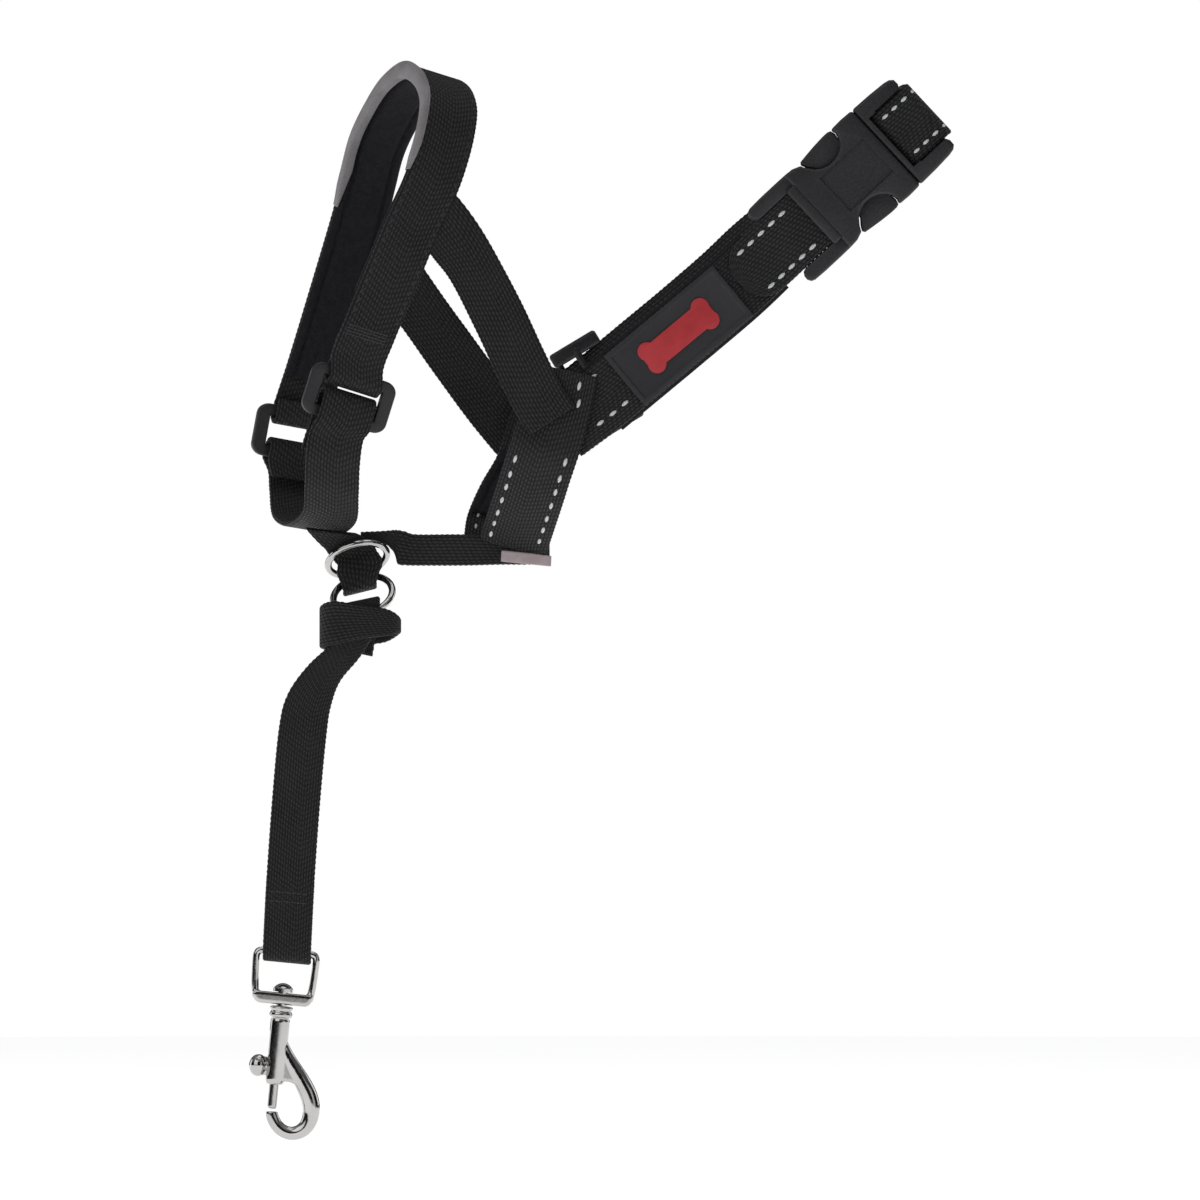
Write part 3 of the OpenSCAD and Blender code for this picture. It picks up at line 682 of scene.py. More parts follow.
# ---- Link rings ------------------------------------------------------------
# Two welded steel rings of 2.2 mm wire, nickel-chrome plated. The upper one hangs in
# the chin tab, the lower one in the throat loop, and the safety strap is hitched to it.
chrome_finish, chrome_shader, wire = new_finish("bright_plating", Metallic=1.0, Specular_IOR_Level=0.5)
rubbed = mottle(wire, 260, 5)
tint(wire, chrome_shader, [(0.2, (0.40, 0.39, 0.38)), (0.8, (0.52, 0.512, 0.503))], mottle(wire, 60, 2))
(0.07 + rubbed * 0.09).into(chrome_shader, "Roughness")
relief(wire, chrome_shader, rubbed, 0.00002, 0.5)


def refinish(node, finish):
    """Puts a finish on a CAD solid whose shape is already right."""
    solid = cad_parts[node]
    solid.data.materials.clear()
    solid.data.materials.append(finish)


for node in ("chin_ring", "lead_ring"):
    refinish(node, chrome_finish)


# ---- Cheek straps ----------------------------------------------------------
# Two straps of the same webbing, 17 mm wide, run back from the nose webbing to the
# throat. Each end lies flat on the strap that it is sewn to.
cheek_w = 17
cheek_near_line = Line([
    [23.0, -28.0, 24.6, 0.40, 0.116, 0.909, 20.4], [32, -29.6, 12, 0.82, 0.02, 0.57, cheek_w],
    [41, -31.6, -5, 0.894, 0, 0.447, cheek_w], [48, -32.2, -20, 0.894, 0, 0.447, cheek_w],
    [54, -32.3, -32, 0.87, 0, 0.5, cheek_w], [58.5, -32.3, -39, 0.84, 0, 0.54, cheek_w]])
cheek_far_line = Line([
    [2.2, 32.8, 15, 0.264, -0.08, 0.96, 20.8], [14, 33.6, 0, 0.8, 0, 0.6, cheek_w],
    [27, 33.4, -18, 0.8, 0, 0.6, cheek_w], [38, 33.2, -33, 0.8, 0, 0.6, cheek_w],
    [47, 33.2, -44, 0.77, 0, 0.64, cheek_w]])
for node, line in (("cheek_strap_near", cheek_near_line), ("cheek_strap_far", cheek_far_line)):
    piece = sweep(node + "_cloth", line, woven_section(line, web_t))
    dress(piece, webbing_finish, "halter", node)


# ---- Throat straps, band and loop ------------------------------------------
# On each side a 22 mm strap with a soft lining drops to the throat, edged with seams of
# light reflective thread. Both are sewn into a doubled band that runs forwards, and a
# narrow loop at its front passes through the upper ring to hold the lower one.
reflective_finish = even_finish(
    "reflective_thread", 2400, 2, [(0.25, (0.36, 0.37, 0.38)), (0.75, (0.70, 0.71, 0.73))],
    (0.35, 0.25), 0.00008, Specular_IOR_Level=0.5)

throat_w = 22
throat_near_stations = [
    [63.5, -30.4, -23, 0.97, 0, -0.22, throat_w - 3], [61.5, -30.4, -31, 0.97, 0, -0.22, throat_w - 2],
    [57.5, -30.4, -43, 0.96, 0, -0.27, throat_w], [55.6, -30.3, -49, 0.95, 0, -0.30, throat_w],
    [53.4, -27, -55.5, 0.95, 0, -0.30, throat_w], [51, -20.5, -63, 0.95, 0, -0.30, throat_w],
    [48.3, -12, -71, 0.95, 0, -0.30, throat_w], [46.5, -4.5, -76.5, 0.95, 0, -0.30, throat_w],
    [46, -2.2, -79.5, 0.96, 0, -0.26, throat_w]]
throat_far_stations = [
    [57, 29.4, -30, 0.9, 0, -0.43, throat_w - 3], [54, 29.4, -42, 0.92, 0, -0.39, throat_w - 1],
    [51, 27.5, -53, 0.93, 0, -0.36, throat_w], [45.8, 21, -62, 0.95, 0, -0.28, throat_w],
    [42, 13, -70.5, 0.97, 0, -0.20, throat_w], [41, 6, -76.5, 0.98, 0, -0.16, throat_w],
    [41, 3.4, -79.5, 0.98, 0, -0.16, throat_w]]
throat_near_line = Line(throat_near_stations)
throat_far_line = Line(throat_far_stations)
band_y = 0.6
band_line = Line([
    [57.5, band_y, -80.6, 0, 0, 1, 6], [52, band_y, -80.4, 0, 0, 1, 8.4], [42, band_y, -80.2, 0, 0, 1, 9],
    [30, band_y, -80, 0, 0, 1, 10], [15, band_y, -80, 0, 0, 1, 10], [11.4, band_y, -79.5, 0, 0, 1, 10.8],
    [8.8, band_y, -79.0, 0, 0, 1, 10.8], [7.6, band_y, -77.2, 0, 0, 1, 7.2], [4, band_y, -75.9, 0, 0, 1, 4],
    [-3, band_y, -76.4, 0, 0, 1, 4.4]])
loop_turn = 3.6
loop_line = Line(
    [[-12.4, -8.2, -74.0, 0.95, 0.16, -0.12, 16.5], [-8.2, -4.8, -77.6, 0.97, 0.05, 0.12, 14.8],
     [-4.4, -2.7, -81.2, 0.966, 0, 0.26, 12.6], [-3.2, -4.7, -85.6, 0.966, 0, 0.26, 15.2]]
    + [[-3.2, -2.4 - loop_turn * math.cos(a), -89.3 - loop_turn * math.sin(a), 0.97, 0, 0.24,
        12.4 if a == 0 else 11]
       for a in np.radians([0, 45, 90, 135, 180])]
    + [[-2.8, 2.0, -84, 0.97, 0, 0.2, 11], [-3.4, 3.1, -79, 0.98, 0, 0.1, 10]])
band_t = 3.0
for node, line, thick in (("throat_strap_near", throat_near_line, web_t),
                          ("throat_strap_far", throat_far_line, web_t),
                          ("throat_band", band_line, band_t), ("throat_loop", loop_line, web_t)):
    piece = sweep(node + "_cloth", line, woven_section(line, thick))
    dress(piece, webbing_finish, "halter", node)

throat_pad = 2.0
throat_pad_lift = web_t / 2 + 1.1
for node, stations, lift, inner in (("throat_lining_near", throat_near_stations[4:7], -throat_pad_lift, -1),
                                    ("throat_lining_far", throat_far_stations[2:5], throat_pad_lift, 1)):
    line = Line([[*s[:6], throat_w - 1] for s in stations])
    piece = sweep(node + "_pad", line, padded_section(line, throat_pad, lift, inner=inner))
    dress(piece, lining_finish, "halter", node)

near_run = throat_near_line.length
throat_pitch = 5.6
sew("throat_near_stitches",
    seam(throat_near_line, 29, near_run - 0.5, -7.9, web_t / 2, throat_pitch)
    + seam(throat_near_line, 25, near_run - 4.5, 7.6, web_t / 2, throat_pitch)
    + [throat_near_line.spot(4.2, 4.5, web_t / 2), throat_near_line.spot(9.4, 5.8, web_t / 2)],
    reflective_finish, "halter", long=3.1, wide=1.2, high=0.8)
far_run = throat_far_line.length
sew("throat_far_stitches",
    seam(throat_far_line, 20, far_run - 5, -7.6, -web_t / 2, throat_pitch)
    + edge_seams(throat_far_line, 20, far_run - 5, -7.6, web_t / 2, throat_pitch),
    reflective_finish, "halter")

label_finish, label_shader, wire = new_finish("label_cloth", Sheen_Weight=0.15, Specular_IOR_Level=0.3)
lay = wire.node("ShaderNodeSeparateXYZ", inputs={0: wire.node("ShaderNodeUVMap", {"uv_map": "lay"})})
thread_gap = 0.0003
threads = (lay / thread_gap).fraction() * (lay.other(1) / thread_gap).fraction()
tint(wire, label_shader, [(0.1, (0.30, 0.24, 0.25)), (0.8, (0.47, 0.39, 0.40))],
     threads * 0.4 + mottle(wire, 300, 3) * 0.7)
label_shader.inputs["Roughness"].default_value = 0.8
relief(wire, label_shader, threads, 0.00008)
label_line = Line([[42, -4.4, -81.9, 0.05, 0, 1, 3.6], [50, -4.6, -82.7, 0.05, 0, 1, 3.6],
                   [58, -4.4, -83.6, 0.05, 0, 1, 3.4]])
label = sweep("label_tab_cloth", label_line, woven_section(label_line, 0.6, ripple=0.0))
dress(label, label_finish, "halter", "label_tab")


# ---- Near neck strap -------------------------------------------------------
# The near half of the neck loop: 21 mm webbing on a soft lining, folded round the bar
# of the buckle's socket. Its rounded end is sewn back down with reflective thread.
neck_w = 21
rise = math.radians(43)
buckle = fitting_frame([132, -27, 17.6], [math.cos(rise), 0, math.sin(rise)],
                       [-math.sin(rise), 0, math.cos(rise)])
neck_side = [-0.64, 0, 0.77]
neck_near = [[61, -28.2, -42.2], [73.5, -28.6, -33], [81.2, -28.5, -26.6], [98.9, -28, -11.9],
             [116.5, -27.4, 3]]
neck_near_line = Line(
    [[*p, *neck_side, neck_w] for p in neck_near]
    + [in_frame(buckle, -6, -1.5, neck_w), in_frame(buckle, 3, -2.5, neck_w)]
    + turn(buckle, 10.9, 2.55, 270, 450, 6, neck_w)
    + [in_frame(buckle, u, out, neck_w - drawn_in)
       for u, out, drawn_in in ((2, 2.5, 0), (-8, 1.8, 0), (-14, 2.0, 2), (-17, 2.15, 7), (-19, 2.2, 14))])
neck_strap = sweep("neck_strap_near_cloth", neck_near_line, woven_section(neck_near_line, web_t))
dress(neck_strap, webbing_finish, "halter", "neck_strap_near")

neck_pad_line = Line([[*p, *neck_side, 23] for p in neck_near[1:]] + [in_frame(buckle, -8, -1.3, 23)])
neck_pad = sweep("neck_lining_pad", neck_pad_line, padded_section(neck_pad_line, pad_t, lining_lift))
dress(neck_pad, lining_finish, "halter", "neck_lining")

fold_end = neck_near_line.length
sew("neck_near_stitches",
    seam(neck_near_line, 9, 21, 7.6, web_t / 2, 4.6) + seam(neck_near_line, 9, 24, -5.4, web_t / 2, 4.8)
    + edge_seams(neck_near_line, 58, 66, 7.6, web_t / 2, 4.4)
    + edge_seams(neck_near_line, fold_end - 27, fold_end - 5, 7.2, -web_t / 2, 4.6),
    reflective_finish, "halter", long=2.9, wide=1.2, high=0.8)


# ---- Rubber patch ----------------------------------------------------------
# A dark soft rubber patch is sewn on the near neck strap. It has a raised rim and, in
# place of any lettering, a plain raised red bone.
rubber_finish, rubber_shader, wire = new_finish("dark_rubber", Specular_IOR_Level=0.36)
pores = mottle(wire, 900, 3)
dusty = mottle(wire, 60, 4)
tint(wire, rubber_shader, [(0.3, (0.014, 0.014, 0.016)), (0.8, (0.027, 0.026, 0.030))],
     dusty * 0.8 + pores * 0.2)
(0.50 + dusty * 0.2).into(rubber_shader, "Roughness")
relief(wire, rubber_shader, pores, 0.00006)

red_finish, red_shader, wire = new_finish("red_rubber", Specular_IOR_Level=0.45)
red_dusty = mottle(wire, 120, 4)
tint(wire, red_shader, [(0.3, (0.36, 0.018, 0.024)), (0.8, (0.50, 0.030, 0.038))], red_dusty)
(0.45 + red_dusty * 0.2).into(red_shader, "Roughness")
relief(wire, red_shader, mottle(wire, 900, 3), 0.00004)

patch_frame = fitting_frame([98.6, -28 - web_t / 2 - 0.2, -11.85], [35.2, 0.9, 29.3], [-0.64, 0, 0.77])
patch_half_l, patch_half_w, patch_half_t = 22.6, 10.2, 0.7
bpy.ops.object.select_all(action="DESELECT")
bpy.ops.mesh.primitive_cube_add(size=2)
patch = bpy.context.object
patch.name = "name_patch_rubber"
for v in patch.data.vertices:
    v.co = (v.co.x * patch_half_l * MM, v.co.y * patch_half_w * MM, (v.co.z + 1) * patch_half_t * MM)
patch.data.update()
pick(patch, "FACE", lambda face: face.normal.z > 0.9)
bpy.ops.mesh.inset(thickness=1.5 * MM)
bpy.ops.mesh.inset(thickness=0.3 * MM, depth=-0.45 * MM)
bpy.ops.object.mode_set(mode="OBJECT")
round_over(patch, 0.22, segments=3, sharper_than=30)
bpy.ops.object.shade_smooth_by_angle(angle=math.radians(40))

knuckle_r = 3.0
bone_outline = []
for x, y, start in ((11.0, 2.6, -30), (-11.0, 2.6, 30), (-11.0, -2.6, 150), (11.0, -2.6, 210)):
    for a in np.radians(np.linspace(start, start + 180, 11)):
        bone_outline.append((x + knuckle_r * math.cos(a), y + knuckle_r * math.sin(a)))
bpy.ops.object.select_all(action="DESELECT")
bpy.ops.mesh.primitive_circle_add(vertices=len(bone_outline), radius=1, fill_type="NGON")
bone = bpy.context.object
bone.name = "patch_bone"
for v, (x, y) in zip(bone.data.vertices, bone_outline):
    v.co = (x * MM, y * MM, 0.9 * MM)
apply_modifier(bone, "SOLIDIFY", thickness=0.55 * MM, offset=1)
round_over(bone, 0.2, segments=3, sharper_than=50)
bpy.ops.object.shade_smooth_by_angle(angle=math.radians(40))
for piece, finish in ((patch, rubber_finish), (bone, red_finish)):
    placed(piece, patch_frame)
    piece.data.materials.append(finish)
    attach(piece, "halter")
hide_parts("name_patch")


# ---- Far neck strap and its slider -----------------------------------------
# The far half of the neck loop is longer. It runs from the throat round the back of
# the neck to the buckle's plug, and a ladder slider takes up its length.
far_stations = [[x, 31.2, z, -0.63, 0, 0.78]
                for x, z in ((58.5, -38.5), (66, -32.3), (77.1, -23.2), (88.2, -14), (99.3, -4.8))]
far_stations += [[113, 30, 7, -0.65, 0, 0.76]]
far_stations += [[*place, -0.68, 0, 0.73]
                 for place in ((126, 27, 19), (147, 20, 35.5), (163, 12, 49), (173, 1.5, 58), (176.6, -9, 60.5))]
neck_far_line = Line([[*s, neck_w] for s in far_stations]
                     + [in_frame(buckle, 62.9, -8, neck_w), in_frame(buckle, 62.9, -5.4, neck_w)])
neck_far = sweep("neck_strap_far_cloth", neck_far_line, woven_section(neck_far_line, web_t))
neck_far.data.materials.append(webbing_finish)
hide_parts("neck_strap_far")
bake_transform(neck_far)

ladder = fitting_frame([72.5, 31.2, -27], [0.857, 0, 0.515], [-0.515, 0, 0.857])
rail_half = (8.5, 2.4, 3)
rail_side = 13.6
rung_out = 2.3
rungs_and_rails = []
bpy.ops.object.select_all(action="DESELECT")
for side in (-rail_side, rail_side):
    bpy.ops.mesh.primitive_cube_add(size=2)
    rail = bpy.context.object
    for v in rail.data.vertices:
        v.co = (v.co.x * rail_half[0] * MM, (side + v.co.y * rail_half[1]) * MM, v.co.z * rail_half[2] * MM)
    rungs_and_rails.append(rail)
for along, out in ((-7.0, -rung_out), (0.0, rung_out), (7.0, -rung_out)):
    bpy.ops.mesh.primitive_cylinder_add(vertices=24, radius=1.2 * MM, depth=28.6 * MM,
                                        location=(along * MM, 0, out * MM), rotation=(math.pi / 2, 0, 0))
    bpy.ops.object.transform_apply(location=True, rotation=True, scale=True)
    rungs_and_rails.append(bpy.context.object)
only(*rungs_and_rails)
bpy.ops.object.join()
neck_slider = bpy.context.object
neck_slider.name = "neck_slider_moulding"
round_over(neck_slider, 1.1)
bpy.ops.object.shade_smooth_by_angle(angle=math.radians(40))
placed(neck_slider, ladder)
dress(neck_slider, plastic_finish, "neck_slide", "neck_slider")


# ---- Side-release buckle ---------------------------------------------------
# Moulded nylon. The socket has two legs round the strap's bar, a hollow body with a
# scooped window on each side and a sunk panel. The two springy arms belong to the plug,
# and their thumb pads show in the windows.
def mirrored(outline):
    """The outline and its mirror image across the buckle's length, as one closed line."""
    return outline + [(u, -v) for u, v in reversed(outline)]


def slab(name, outline, half_thick, edge):
    """A moulded block with this plan: its face is drawn, thickened, and rounded all round."""
    bpy.ops.object.select_all(action="DESELECT")
    bpy.ops.mesh.primitive_circle_add(vertices=len(outline), radius=1, fill_type="NGON")
    block = bpy.context.object
    block.name = name
    for v, (x, y) in zip(block.data.vertices, outline):
        v.co = (x * MM, y * MM, 0)
    apply_modifier(block, "SOLIDIFY", thickness=2 * half_thick * MM, offset=0)
    face_outward()
    round_over(block, edge)
    return block


def cut(block, low, high):
    """Takes a box between two corners, in mm, out of a block."""
    bpy.ops.object.select_all(action="DESELECT")
    bpy.ops.mesh.primitive_cube_add(size=1)
    tool = bpy.context.object
    for v in tool.data.vertices:
        v.co = [(low[k] + (high[k] - low[k]) * (v.co[k] + 0.5)) * MM for k in range(3)]
    apply_modifier(block, "BOOLEAN", operation="DIFFERENCE", object=tool, solver="EXACT")
    bpy.data.objects.remove(tool)


def weld(block, others):
    """Joins other solids to a block."""
    for other in others:
        apply_modifier(block, "BOOLEAN", operation="UNION", object=other, solver="EXACT")
        bpy.data.objects.remove(other)


scoop = [(20.6, 14.3), (21.6, 12.4), (23.2, 10.4), (25.2, 9.0), (27.6, 8.3), (30.2, 8.4), (32.6, 9.3),
         (34.5, 10.8), (35.7, 12.6), (36.1, 14.4), (35.5, 16.1)]
socket_body = slab("buckle_socket_moulding", mirrored(
    [(44.6, 16.1), (40, 16.3)] + scoop[::-1] + [(18, 15.3), (15.5, 15.5), (14.5, 15.5)]), 5.5, 1.1)
leg_outline = [(16.5, 10.5), (14, 10.55), (0, 10.55), (-1.4, 11.0), (-2.2, 12.3), (-2.3, 13.7), (-1.6, 14.9),
               (-0.4, 15.4), (4, 15.6), (12, 15.6), (16.5, 15.5)]
for side in (1, -1):
    weld(socket_body, [slab("leg", [(u, v * side) for u, v in leg_outline], 3.4, 0.9)])
cut(socket_body, (18.5, -12.6, -3.3), (50, 12.6, 3.3))
for low, high in ((4.75, 7), (-7, -4.75)):
    cut(socket_body, (22.4, -7.2, low), (41.0, 7.2, high))
bpy.ops.object.select_all(action="DESELECT")
bpy.ops.mesh.primitive_cylinder_add(vertices=28, radius=1.5 * MM, depth=26.5 * MM, location=(10.9 * MM, 0, 0),
                                    rotation=(math.pi / 2, 0, 0))
bpy.ops.object.transform_apply(location=True, rotation=True, scale=True)
bar = bpy.context.object
lip = slab("lip", [(11.6, -11.4), (15.2, -11.4), (15.2, 11.4), (11.6, 11.4)], 1.15, 0.8)
lip.data.transform(Matrix.Translation((0, 0, 4.75 * MM)))
weld(socket_body, [bar, lip])
only(socket_body)
bpy.ops.object.shade_smooth_by_angle(angle=math.radians(35))

plug_body = slab("buckle_plug_moulding", mirrored(
    [(60.4, 10.7), (61.2, 12.2), (61.1, 14.1), (59.9, 15.1), (58, 15.5), (52, 15.9), (44.8, 16.1)]), 4.8, 1.0)
cut(plug_body, (46.9, -10.45, -6), (49.9, 10.45, 6))
for low, high in ((1.5, 7), (-7, -1.5)):
    cut(plug_body, (49.8, -10.9, low), (63, 10.9, high))
tongue = slab("tongue", mirrored([(27, 1.6), (28, 2.2), (45.5, 2.2)]), 2.6, 0.4)
weld(plug_body, [tongue])
only(plug_body)
bpy.ops.object.shade_smooth_by_angle(angle=math.radians(35))

arm_outline = [(44.5, 6.5), (44.5, 10.4), (41, 10.9), (38, 11.4), (35.4, 11.8), (35.8, 14.3),
               (35.3, 15.9), (34.2, 16.3), (32, 16.3), (28, 16.0), (24.6, 15.6), (21.6, 15.2),
               (20.95, 14.3), (21.9, 12.6), (23.4, 10.75), (24.0, 9.0), (24.3, 7.8), (25.0, 7.2),
               (28, 7.9), (35, 8), (40, 6.8)]
pieces = [("buckle_socket", "halter", socket_body), ("buckle_plug", "plug", plug_body)]
for node, body, side in (("latch_prong_upper", "upper_prong", 1), ("latch_prong_lower", "lower_prong", -1)):
    arm = slab(node + "_moulding", [(u, v * side) for u, v in arm_outline], 2.75, 0.45)
    bpy.ops.object.shade_smooth_by_angle(angle=math.radians(35))
    pieces.append((node, body, arm))
for node, body, piece in pieces:
    placed(piece, buckle)
    dress(piece, plastic_finish, body, node)

wrap_line = Line(
    [in_frame(buckle, u, out, neck_w) for u, out in ((61.1, -4.9), (60.2, -3.1), (57.8, -2.5))]
    + turn(buckle, 50, 2.5, 270, 90, 6, neck_w)
    + [in_frame(buckle, u, out, neck_w)
       for u, out in ((59, 2.5), (61.4, 1.7), (62.7, -0.4), (62.9, -2.6), (62.9, -5.0))])
wrap = sweep("plug_strap_wrap_cloth", wrap_line, woven_section(wrap_line, web_t))
dress(wrap, webbing_finish, "plug", "plug_strap_wrap")
wrap_end = wrap_line.length
sew("plug_wrap_stitches",
    [wrap_line.spot(wrap_end - 5.6 - k * 3.9, side * 7.4, web_t / 2) for k in range(4) for side in (-1, 1)],
    reflective_finish, "plug", long=2.6, wide=1.15, high=0.8)


# ---- Safety strap ----------------------------------------------------------
# A 15 mm strap, doubled over the lower ring and gathered by a sewn band, which runs
# down to the eye of the bolt snap and is sewn back on itself round the eye's top bar.
# As for the black webbing, the darker colour also serves as painted shade in the yarn gaps and the lighter one
# as a painted highlight on the yarn tops.
fine_webbing_finish = weave("fine_webbing", 0.00085, 0.0016,
                            (0.0010, 0.0010, 0.0013), (0.034, 0.034, 0.036), 0.00030)

safety_w = 15.4
strap_t = 1.8
eye = np.array([-26.4, -11.6, -208.6])
eye_turn = 2.4
lean = math.radians(5.5)
snap_side = [math.cos(lean), 0, -math.sin(lean)]
safety_line = Line(
    [[-4.2, -12.6, -113, 0.96, 0, -0.2, 10.5], [-3, -12.5, -106, 0.97, 0, 0, 10.5]]
    + [[-1.8, -15.7 + 3.4 * math.cos(a), -100 + 3.4 * math.sin(a), 0.97, 0, 0.2, 10.5]
       for a in np.radians([0, 45, 90, 135, 180])]
    + [[-3.5, -18.7, -106, 0.97, 0, 0, 10.5], [-8, -17.5, -112.5, 0.9, 0, -0.35, 10.5],
       [-14.5, -16.2, -119.5, 0.9, 0, -0.45, 11.5], [-19.2, -15.4, -128, 0.96, 0, -0.25, 14.4],
       [-21.3, -14.8, -138, 0.985, 0, -0.17, safety_w], [-23.4, -14.4, -160, 0.99, 0, -0.1, safety_w],
       [-25.2, -14, -185, 0.99, 0, -0.09, safety_w], [-26, -14, -200, 0.995, 0, -0.096, safety_w]]
    + [[eye[0], eye[1] + eye_turn * math.cos(a), eye[2] + eye_turn * math.sin(a), *snap_side, safety_w]
       for a in np.radians([180, 225, 270, 315, 360])]
    + [[-26, -11.7, -200, 0.995, 0, -0.096, safety_w], [-25.2, -12, -185, 0.99, 0, -0.09, safety_w]])
safety_strap = sweep("safety_strap_cloth", safety_line, woven_section(safety_line, strap_t))
hitch_line = Line([
    [-3, -10.3, -107.5, 0, 0, 1, 6], [5, -10.9, -107, 0, 0, 1, 5], [9.4, -16, -104.4, 0, 0, 1, 4.6],
    [6, -20.4, -103.2, 0, 0, 1, 8.4], [-3, -21.4, -103, 0, 0, 1, 11], [-11.5, -20.8, -103.4, 0, 0, 1, 14],
    [-15.2, -16, -104.8, 0, 0, 1, 13], [-12, -11.2, -107.5, 0, 0, 1, 9], [-4.6, -10.3, -107.6, 0, 0, 1, 6]])
hitch_band = sweep("hitch_band_cloth", hitch_line, woven_section(hitch_line, 1.5))
for piece, node in ((safety_strap, "safety_strap"), (hitch_band, "hitch_band")):
    dress(piece, fine_webbing_finish, "safety", node)
eye_fold = safety_line.length
sew("safety_strap_stitches", bar_tack(safety_line, eye_fold - 51, eye_fold - 48, 11, strap_t / 2, rows=2),
    thread_finish, "safety", long=1.7, wide=0.5, high=0.35)


# ---- Bolt snap -------------------------------------------------------------
# Cast zinc, chrome plated: an eye that swivels on a headed rivet, a barrel drawn out
# into a hook, and a spring bolt with a thumb knob that closes the hook's mouth.
snap_axis = np.array([math.sin(lean), 0, math.cos(lean)])
snap_origin = eye - snap_axis * 14.7
snap_frame = (snap_origin, np.array(snap_side), np.array([0.0, 1.0, 0.0]), snap_axis)


def rod(name, points, closed=False):
    """A round bar through points [x, z, radius] of the snap's own plane, in mm."""
    bpy.ops.object.select_all(action="DESELECT")
    bpy.ops.curve.primitive_nurbs_path_add()
    bar = bpy.context.object
    bar.name = name
    shape = bar.data
    shape.splines.clear()
    spline = shape.splines.new("NURBS")
    spline.points.add(len(points) - 1)
    for point, (x, z, r) in zip(spline.points, points):
        point.co = (x * MM, 0, z * MM, 1)
        point.radius = r
    spline.order_u = 4
    spline.use_cyclic_u = closed
    spline.use_endpoint_u = not closed
    spline.resolution_u = 8
    shape.dimensions = "3D"
    shape.bevel_depth = MM
    shape.bevel_resolution = 6
    shape.use_fill_caps = True
    bpy.ops.object.convert(target="MESH")
    return bpy.context.object


def turned(name, profile, steps=40):
    """A lathe-turned solid about the snap's upright axis, from a profile [radius, z] in mm."""
    bpy.ops.object.select_all(action="DESELECT")
    bpy.ops.mesh.primitive_grid_add(x_subdivisions=steps, y_subdivisions=len(profile) - 1, size=2)
    solid = bpy.context.object
    solid.name = name
    for v in solid.data.vertices:
        angle = (v.co.x + 1) * math.pi
        r, z = profile[round((v.co.y + 1) / 2 * (len(profile) - 1))]
        v.co = (r * MM * math.cos(angle), r * MM * math.sin(angle), z * MM)
    face_outward(close=True)
    return solid


def cast(name, parts, voxel, passes):
    """Runs solids together into one casting, with soft fillets where they meet."""
    only(*parts)
    bpy.ops.object.join()
    casting = bpy.context.object
    casting.name = name
    apply_modifier(casting, "REMESH", mode="VOXEL", voxel_size=voxel * MM)
    apply_modifier(casting, "SMOOTH", factor=0.5, iterations=passes)
    bpy.ops.object.shade_smooth()
    return casting


def both_sides(half, middle=()):
    """All the points of a symmetrical outline, from its right half and any on its middle line."""
    return [(-x, *rest) for x, *rest in reversed(half)] + [*middle, *half]


bar_half = [(7.8, 1.8), (9.6, 1.6), (9.4, -0.2), (8.8, -1.3), (7.6, -2.0)]
bar_block = slab("bar", both_sides(bar_half), 1.8, 0.6)
bar_block.data.transform(Matrix.Rotation(math.pi / 2, 4, "X"))
loop_half = [(7.0, 14.7, 1.2), (8.8, 14.8, 1.15), (9.7, 13.7, 1.15), (9.6, 11.2, 1.15), (9.4, 6.5, 1.15),
             (9.1, 2.5, 1.2), (8.4, -0.2, 1.3)]
eye_loop = rod("eye_loop", both_sides(loop_half, [(0, 14.7, 1.2)]))
swivel_eye = cast("swivel_eye_casting", [bar_block, eye_loop], 0.24, 8)

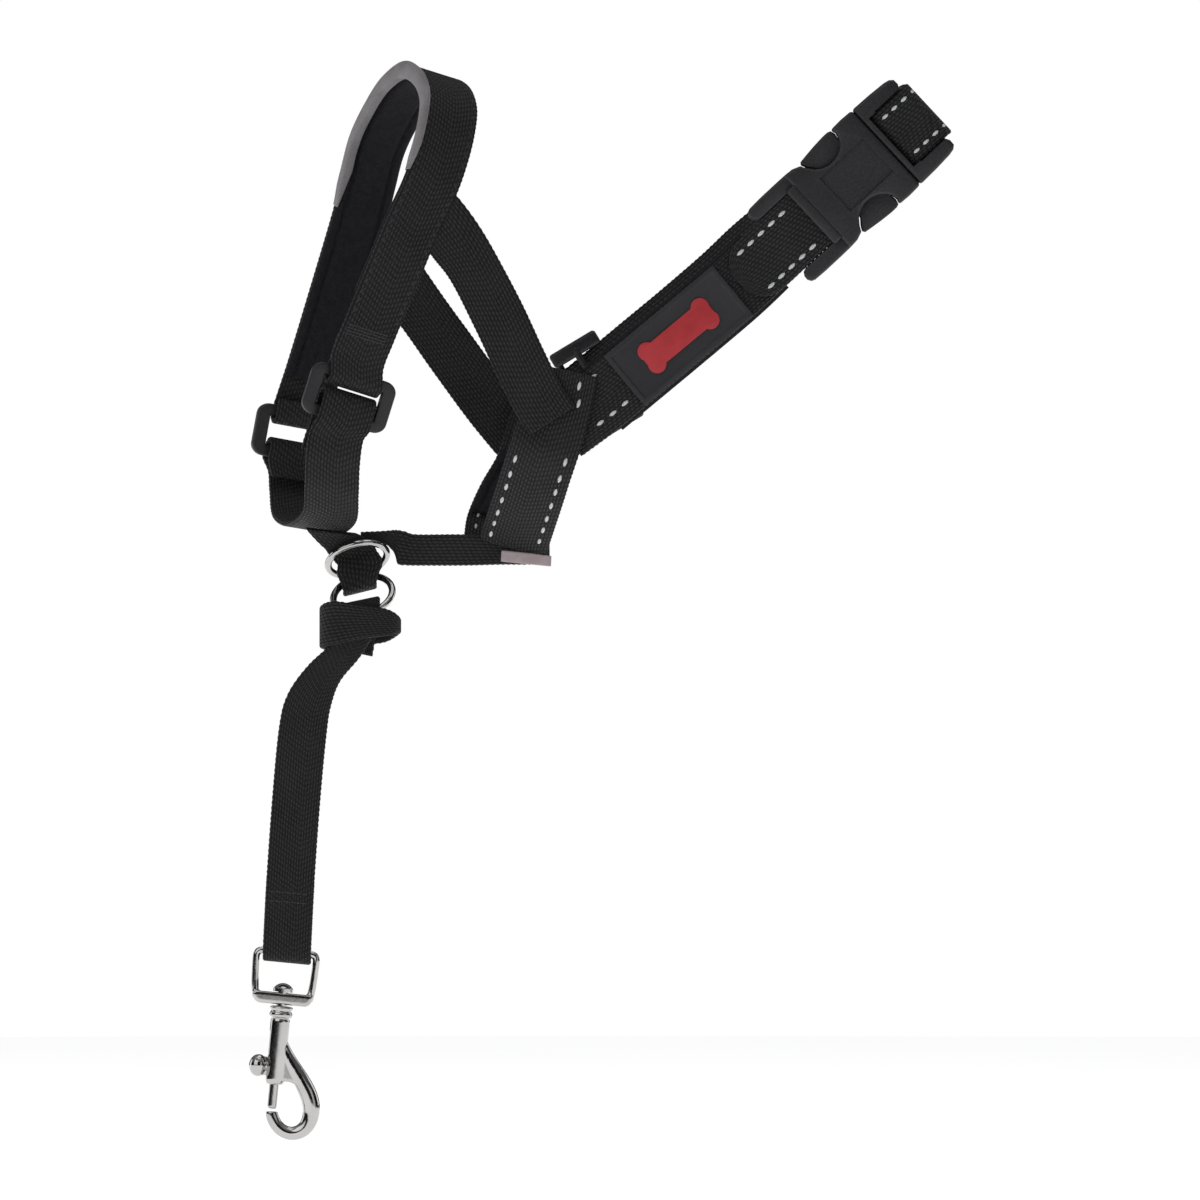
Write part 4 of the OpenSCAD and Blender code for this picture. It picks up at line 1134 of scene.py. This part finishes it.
barrel = turned("barrel", [(0, -27.6), (2.3, -27.6), (2.9, -27.1), (3.1, -26.2), (3.1, -7.0),
                           (2.7, -6.6), (2.9, -6.2), (3.6, -5.9), (3.7, -5.4), (3.65, -4.7), (3.2, -4.3),
                           (3.2, -3.7), (3.65, -3.4), (3.65, -2.9), (3.2, -2.5), (0, -2.4)])
hook = rod("hook", [(1.2, -13.8, 1.6), (3.0, -18.0, 2.1), (6.4, -22.6, 2.5), (9.8, -27.2, 2.8),
                    (12.2, -31.6, 2.9), (13.0, -36.4, 2.7), (11.3, -41.3, 2.4), (6.6, -43.4, 2.15),
                    (1.8, -41.2, 2.1), (0.1, -37.6, 2.05), (0.0, -36.3, 1.9)])
web = slab("web", [(1, -14.5), (3.6, -16.6), (11, -27), (10.2, -30.5), (7.6, -27.4), (5, -26.4),
                   (1, -26.2)], 1.9, 0.4)
web.data.transform(Matrix.Rotation(math.pi / 2, 4, "X"))
snap_body = cast("snap_body_casting", [barrel, hook, web], 0.24, 6)
cut(snap_body, (-5, -1.2, -28.5), (0, 1.2, -10.6))

knob_z = -22.0
knob_outline = ((-2.6, 1.6), (-3.5, 1.7), (-4.0, 3.0), (-4.8, 3.6), (-6.2, 3.6), (-7.4, 3.1), (-8.3, 1.9),
                (-8.6, 0.5))
knob = rod("knob", [(x, knob_z, r) for x, r in knob_outline])
pin = turned("pin", [(0, -35.4), (1.2, -35.3), (1.5, -34.9), (1.5, -18.3), (1.2, -18), (0, -18)], 24)
neck = slab("neck", [(-4.8, -25), (0.2, -25), (0.2, -19), (-4.8, -19)], 1.0, 0.3)
neck.data.transform(Matrix.Rotation(math.pi / 2, 4, "X"))
trigger = cast("trigger_bolt_casting", [knob, pin, neck], 0.22, 5)

for node, body, piece in (("swivel_eye", "eye", swivel_eye), ("snap_body", "snap", snap_body),
                          ("trigger_bolt", "trigger", trigger)):
    placed(piece, snap_frame)
    piece.data.materials.clear()
    dress(piece, chrome_finish, body, node)
refinish("swivel_rivet", chrome_finish)

spring_finish = even_finish(
    "spring_wire", 700, 3, [(0.3, (0.40, 0.40, 0.41)), (0.8, (0.58, 0.58, 0.60))],
    (0.25, 0.2), Metallic=1.0)
refinish("trigger_spring", spring_finish)
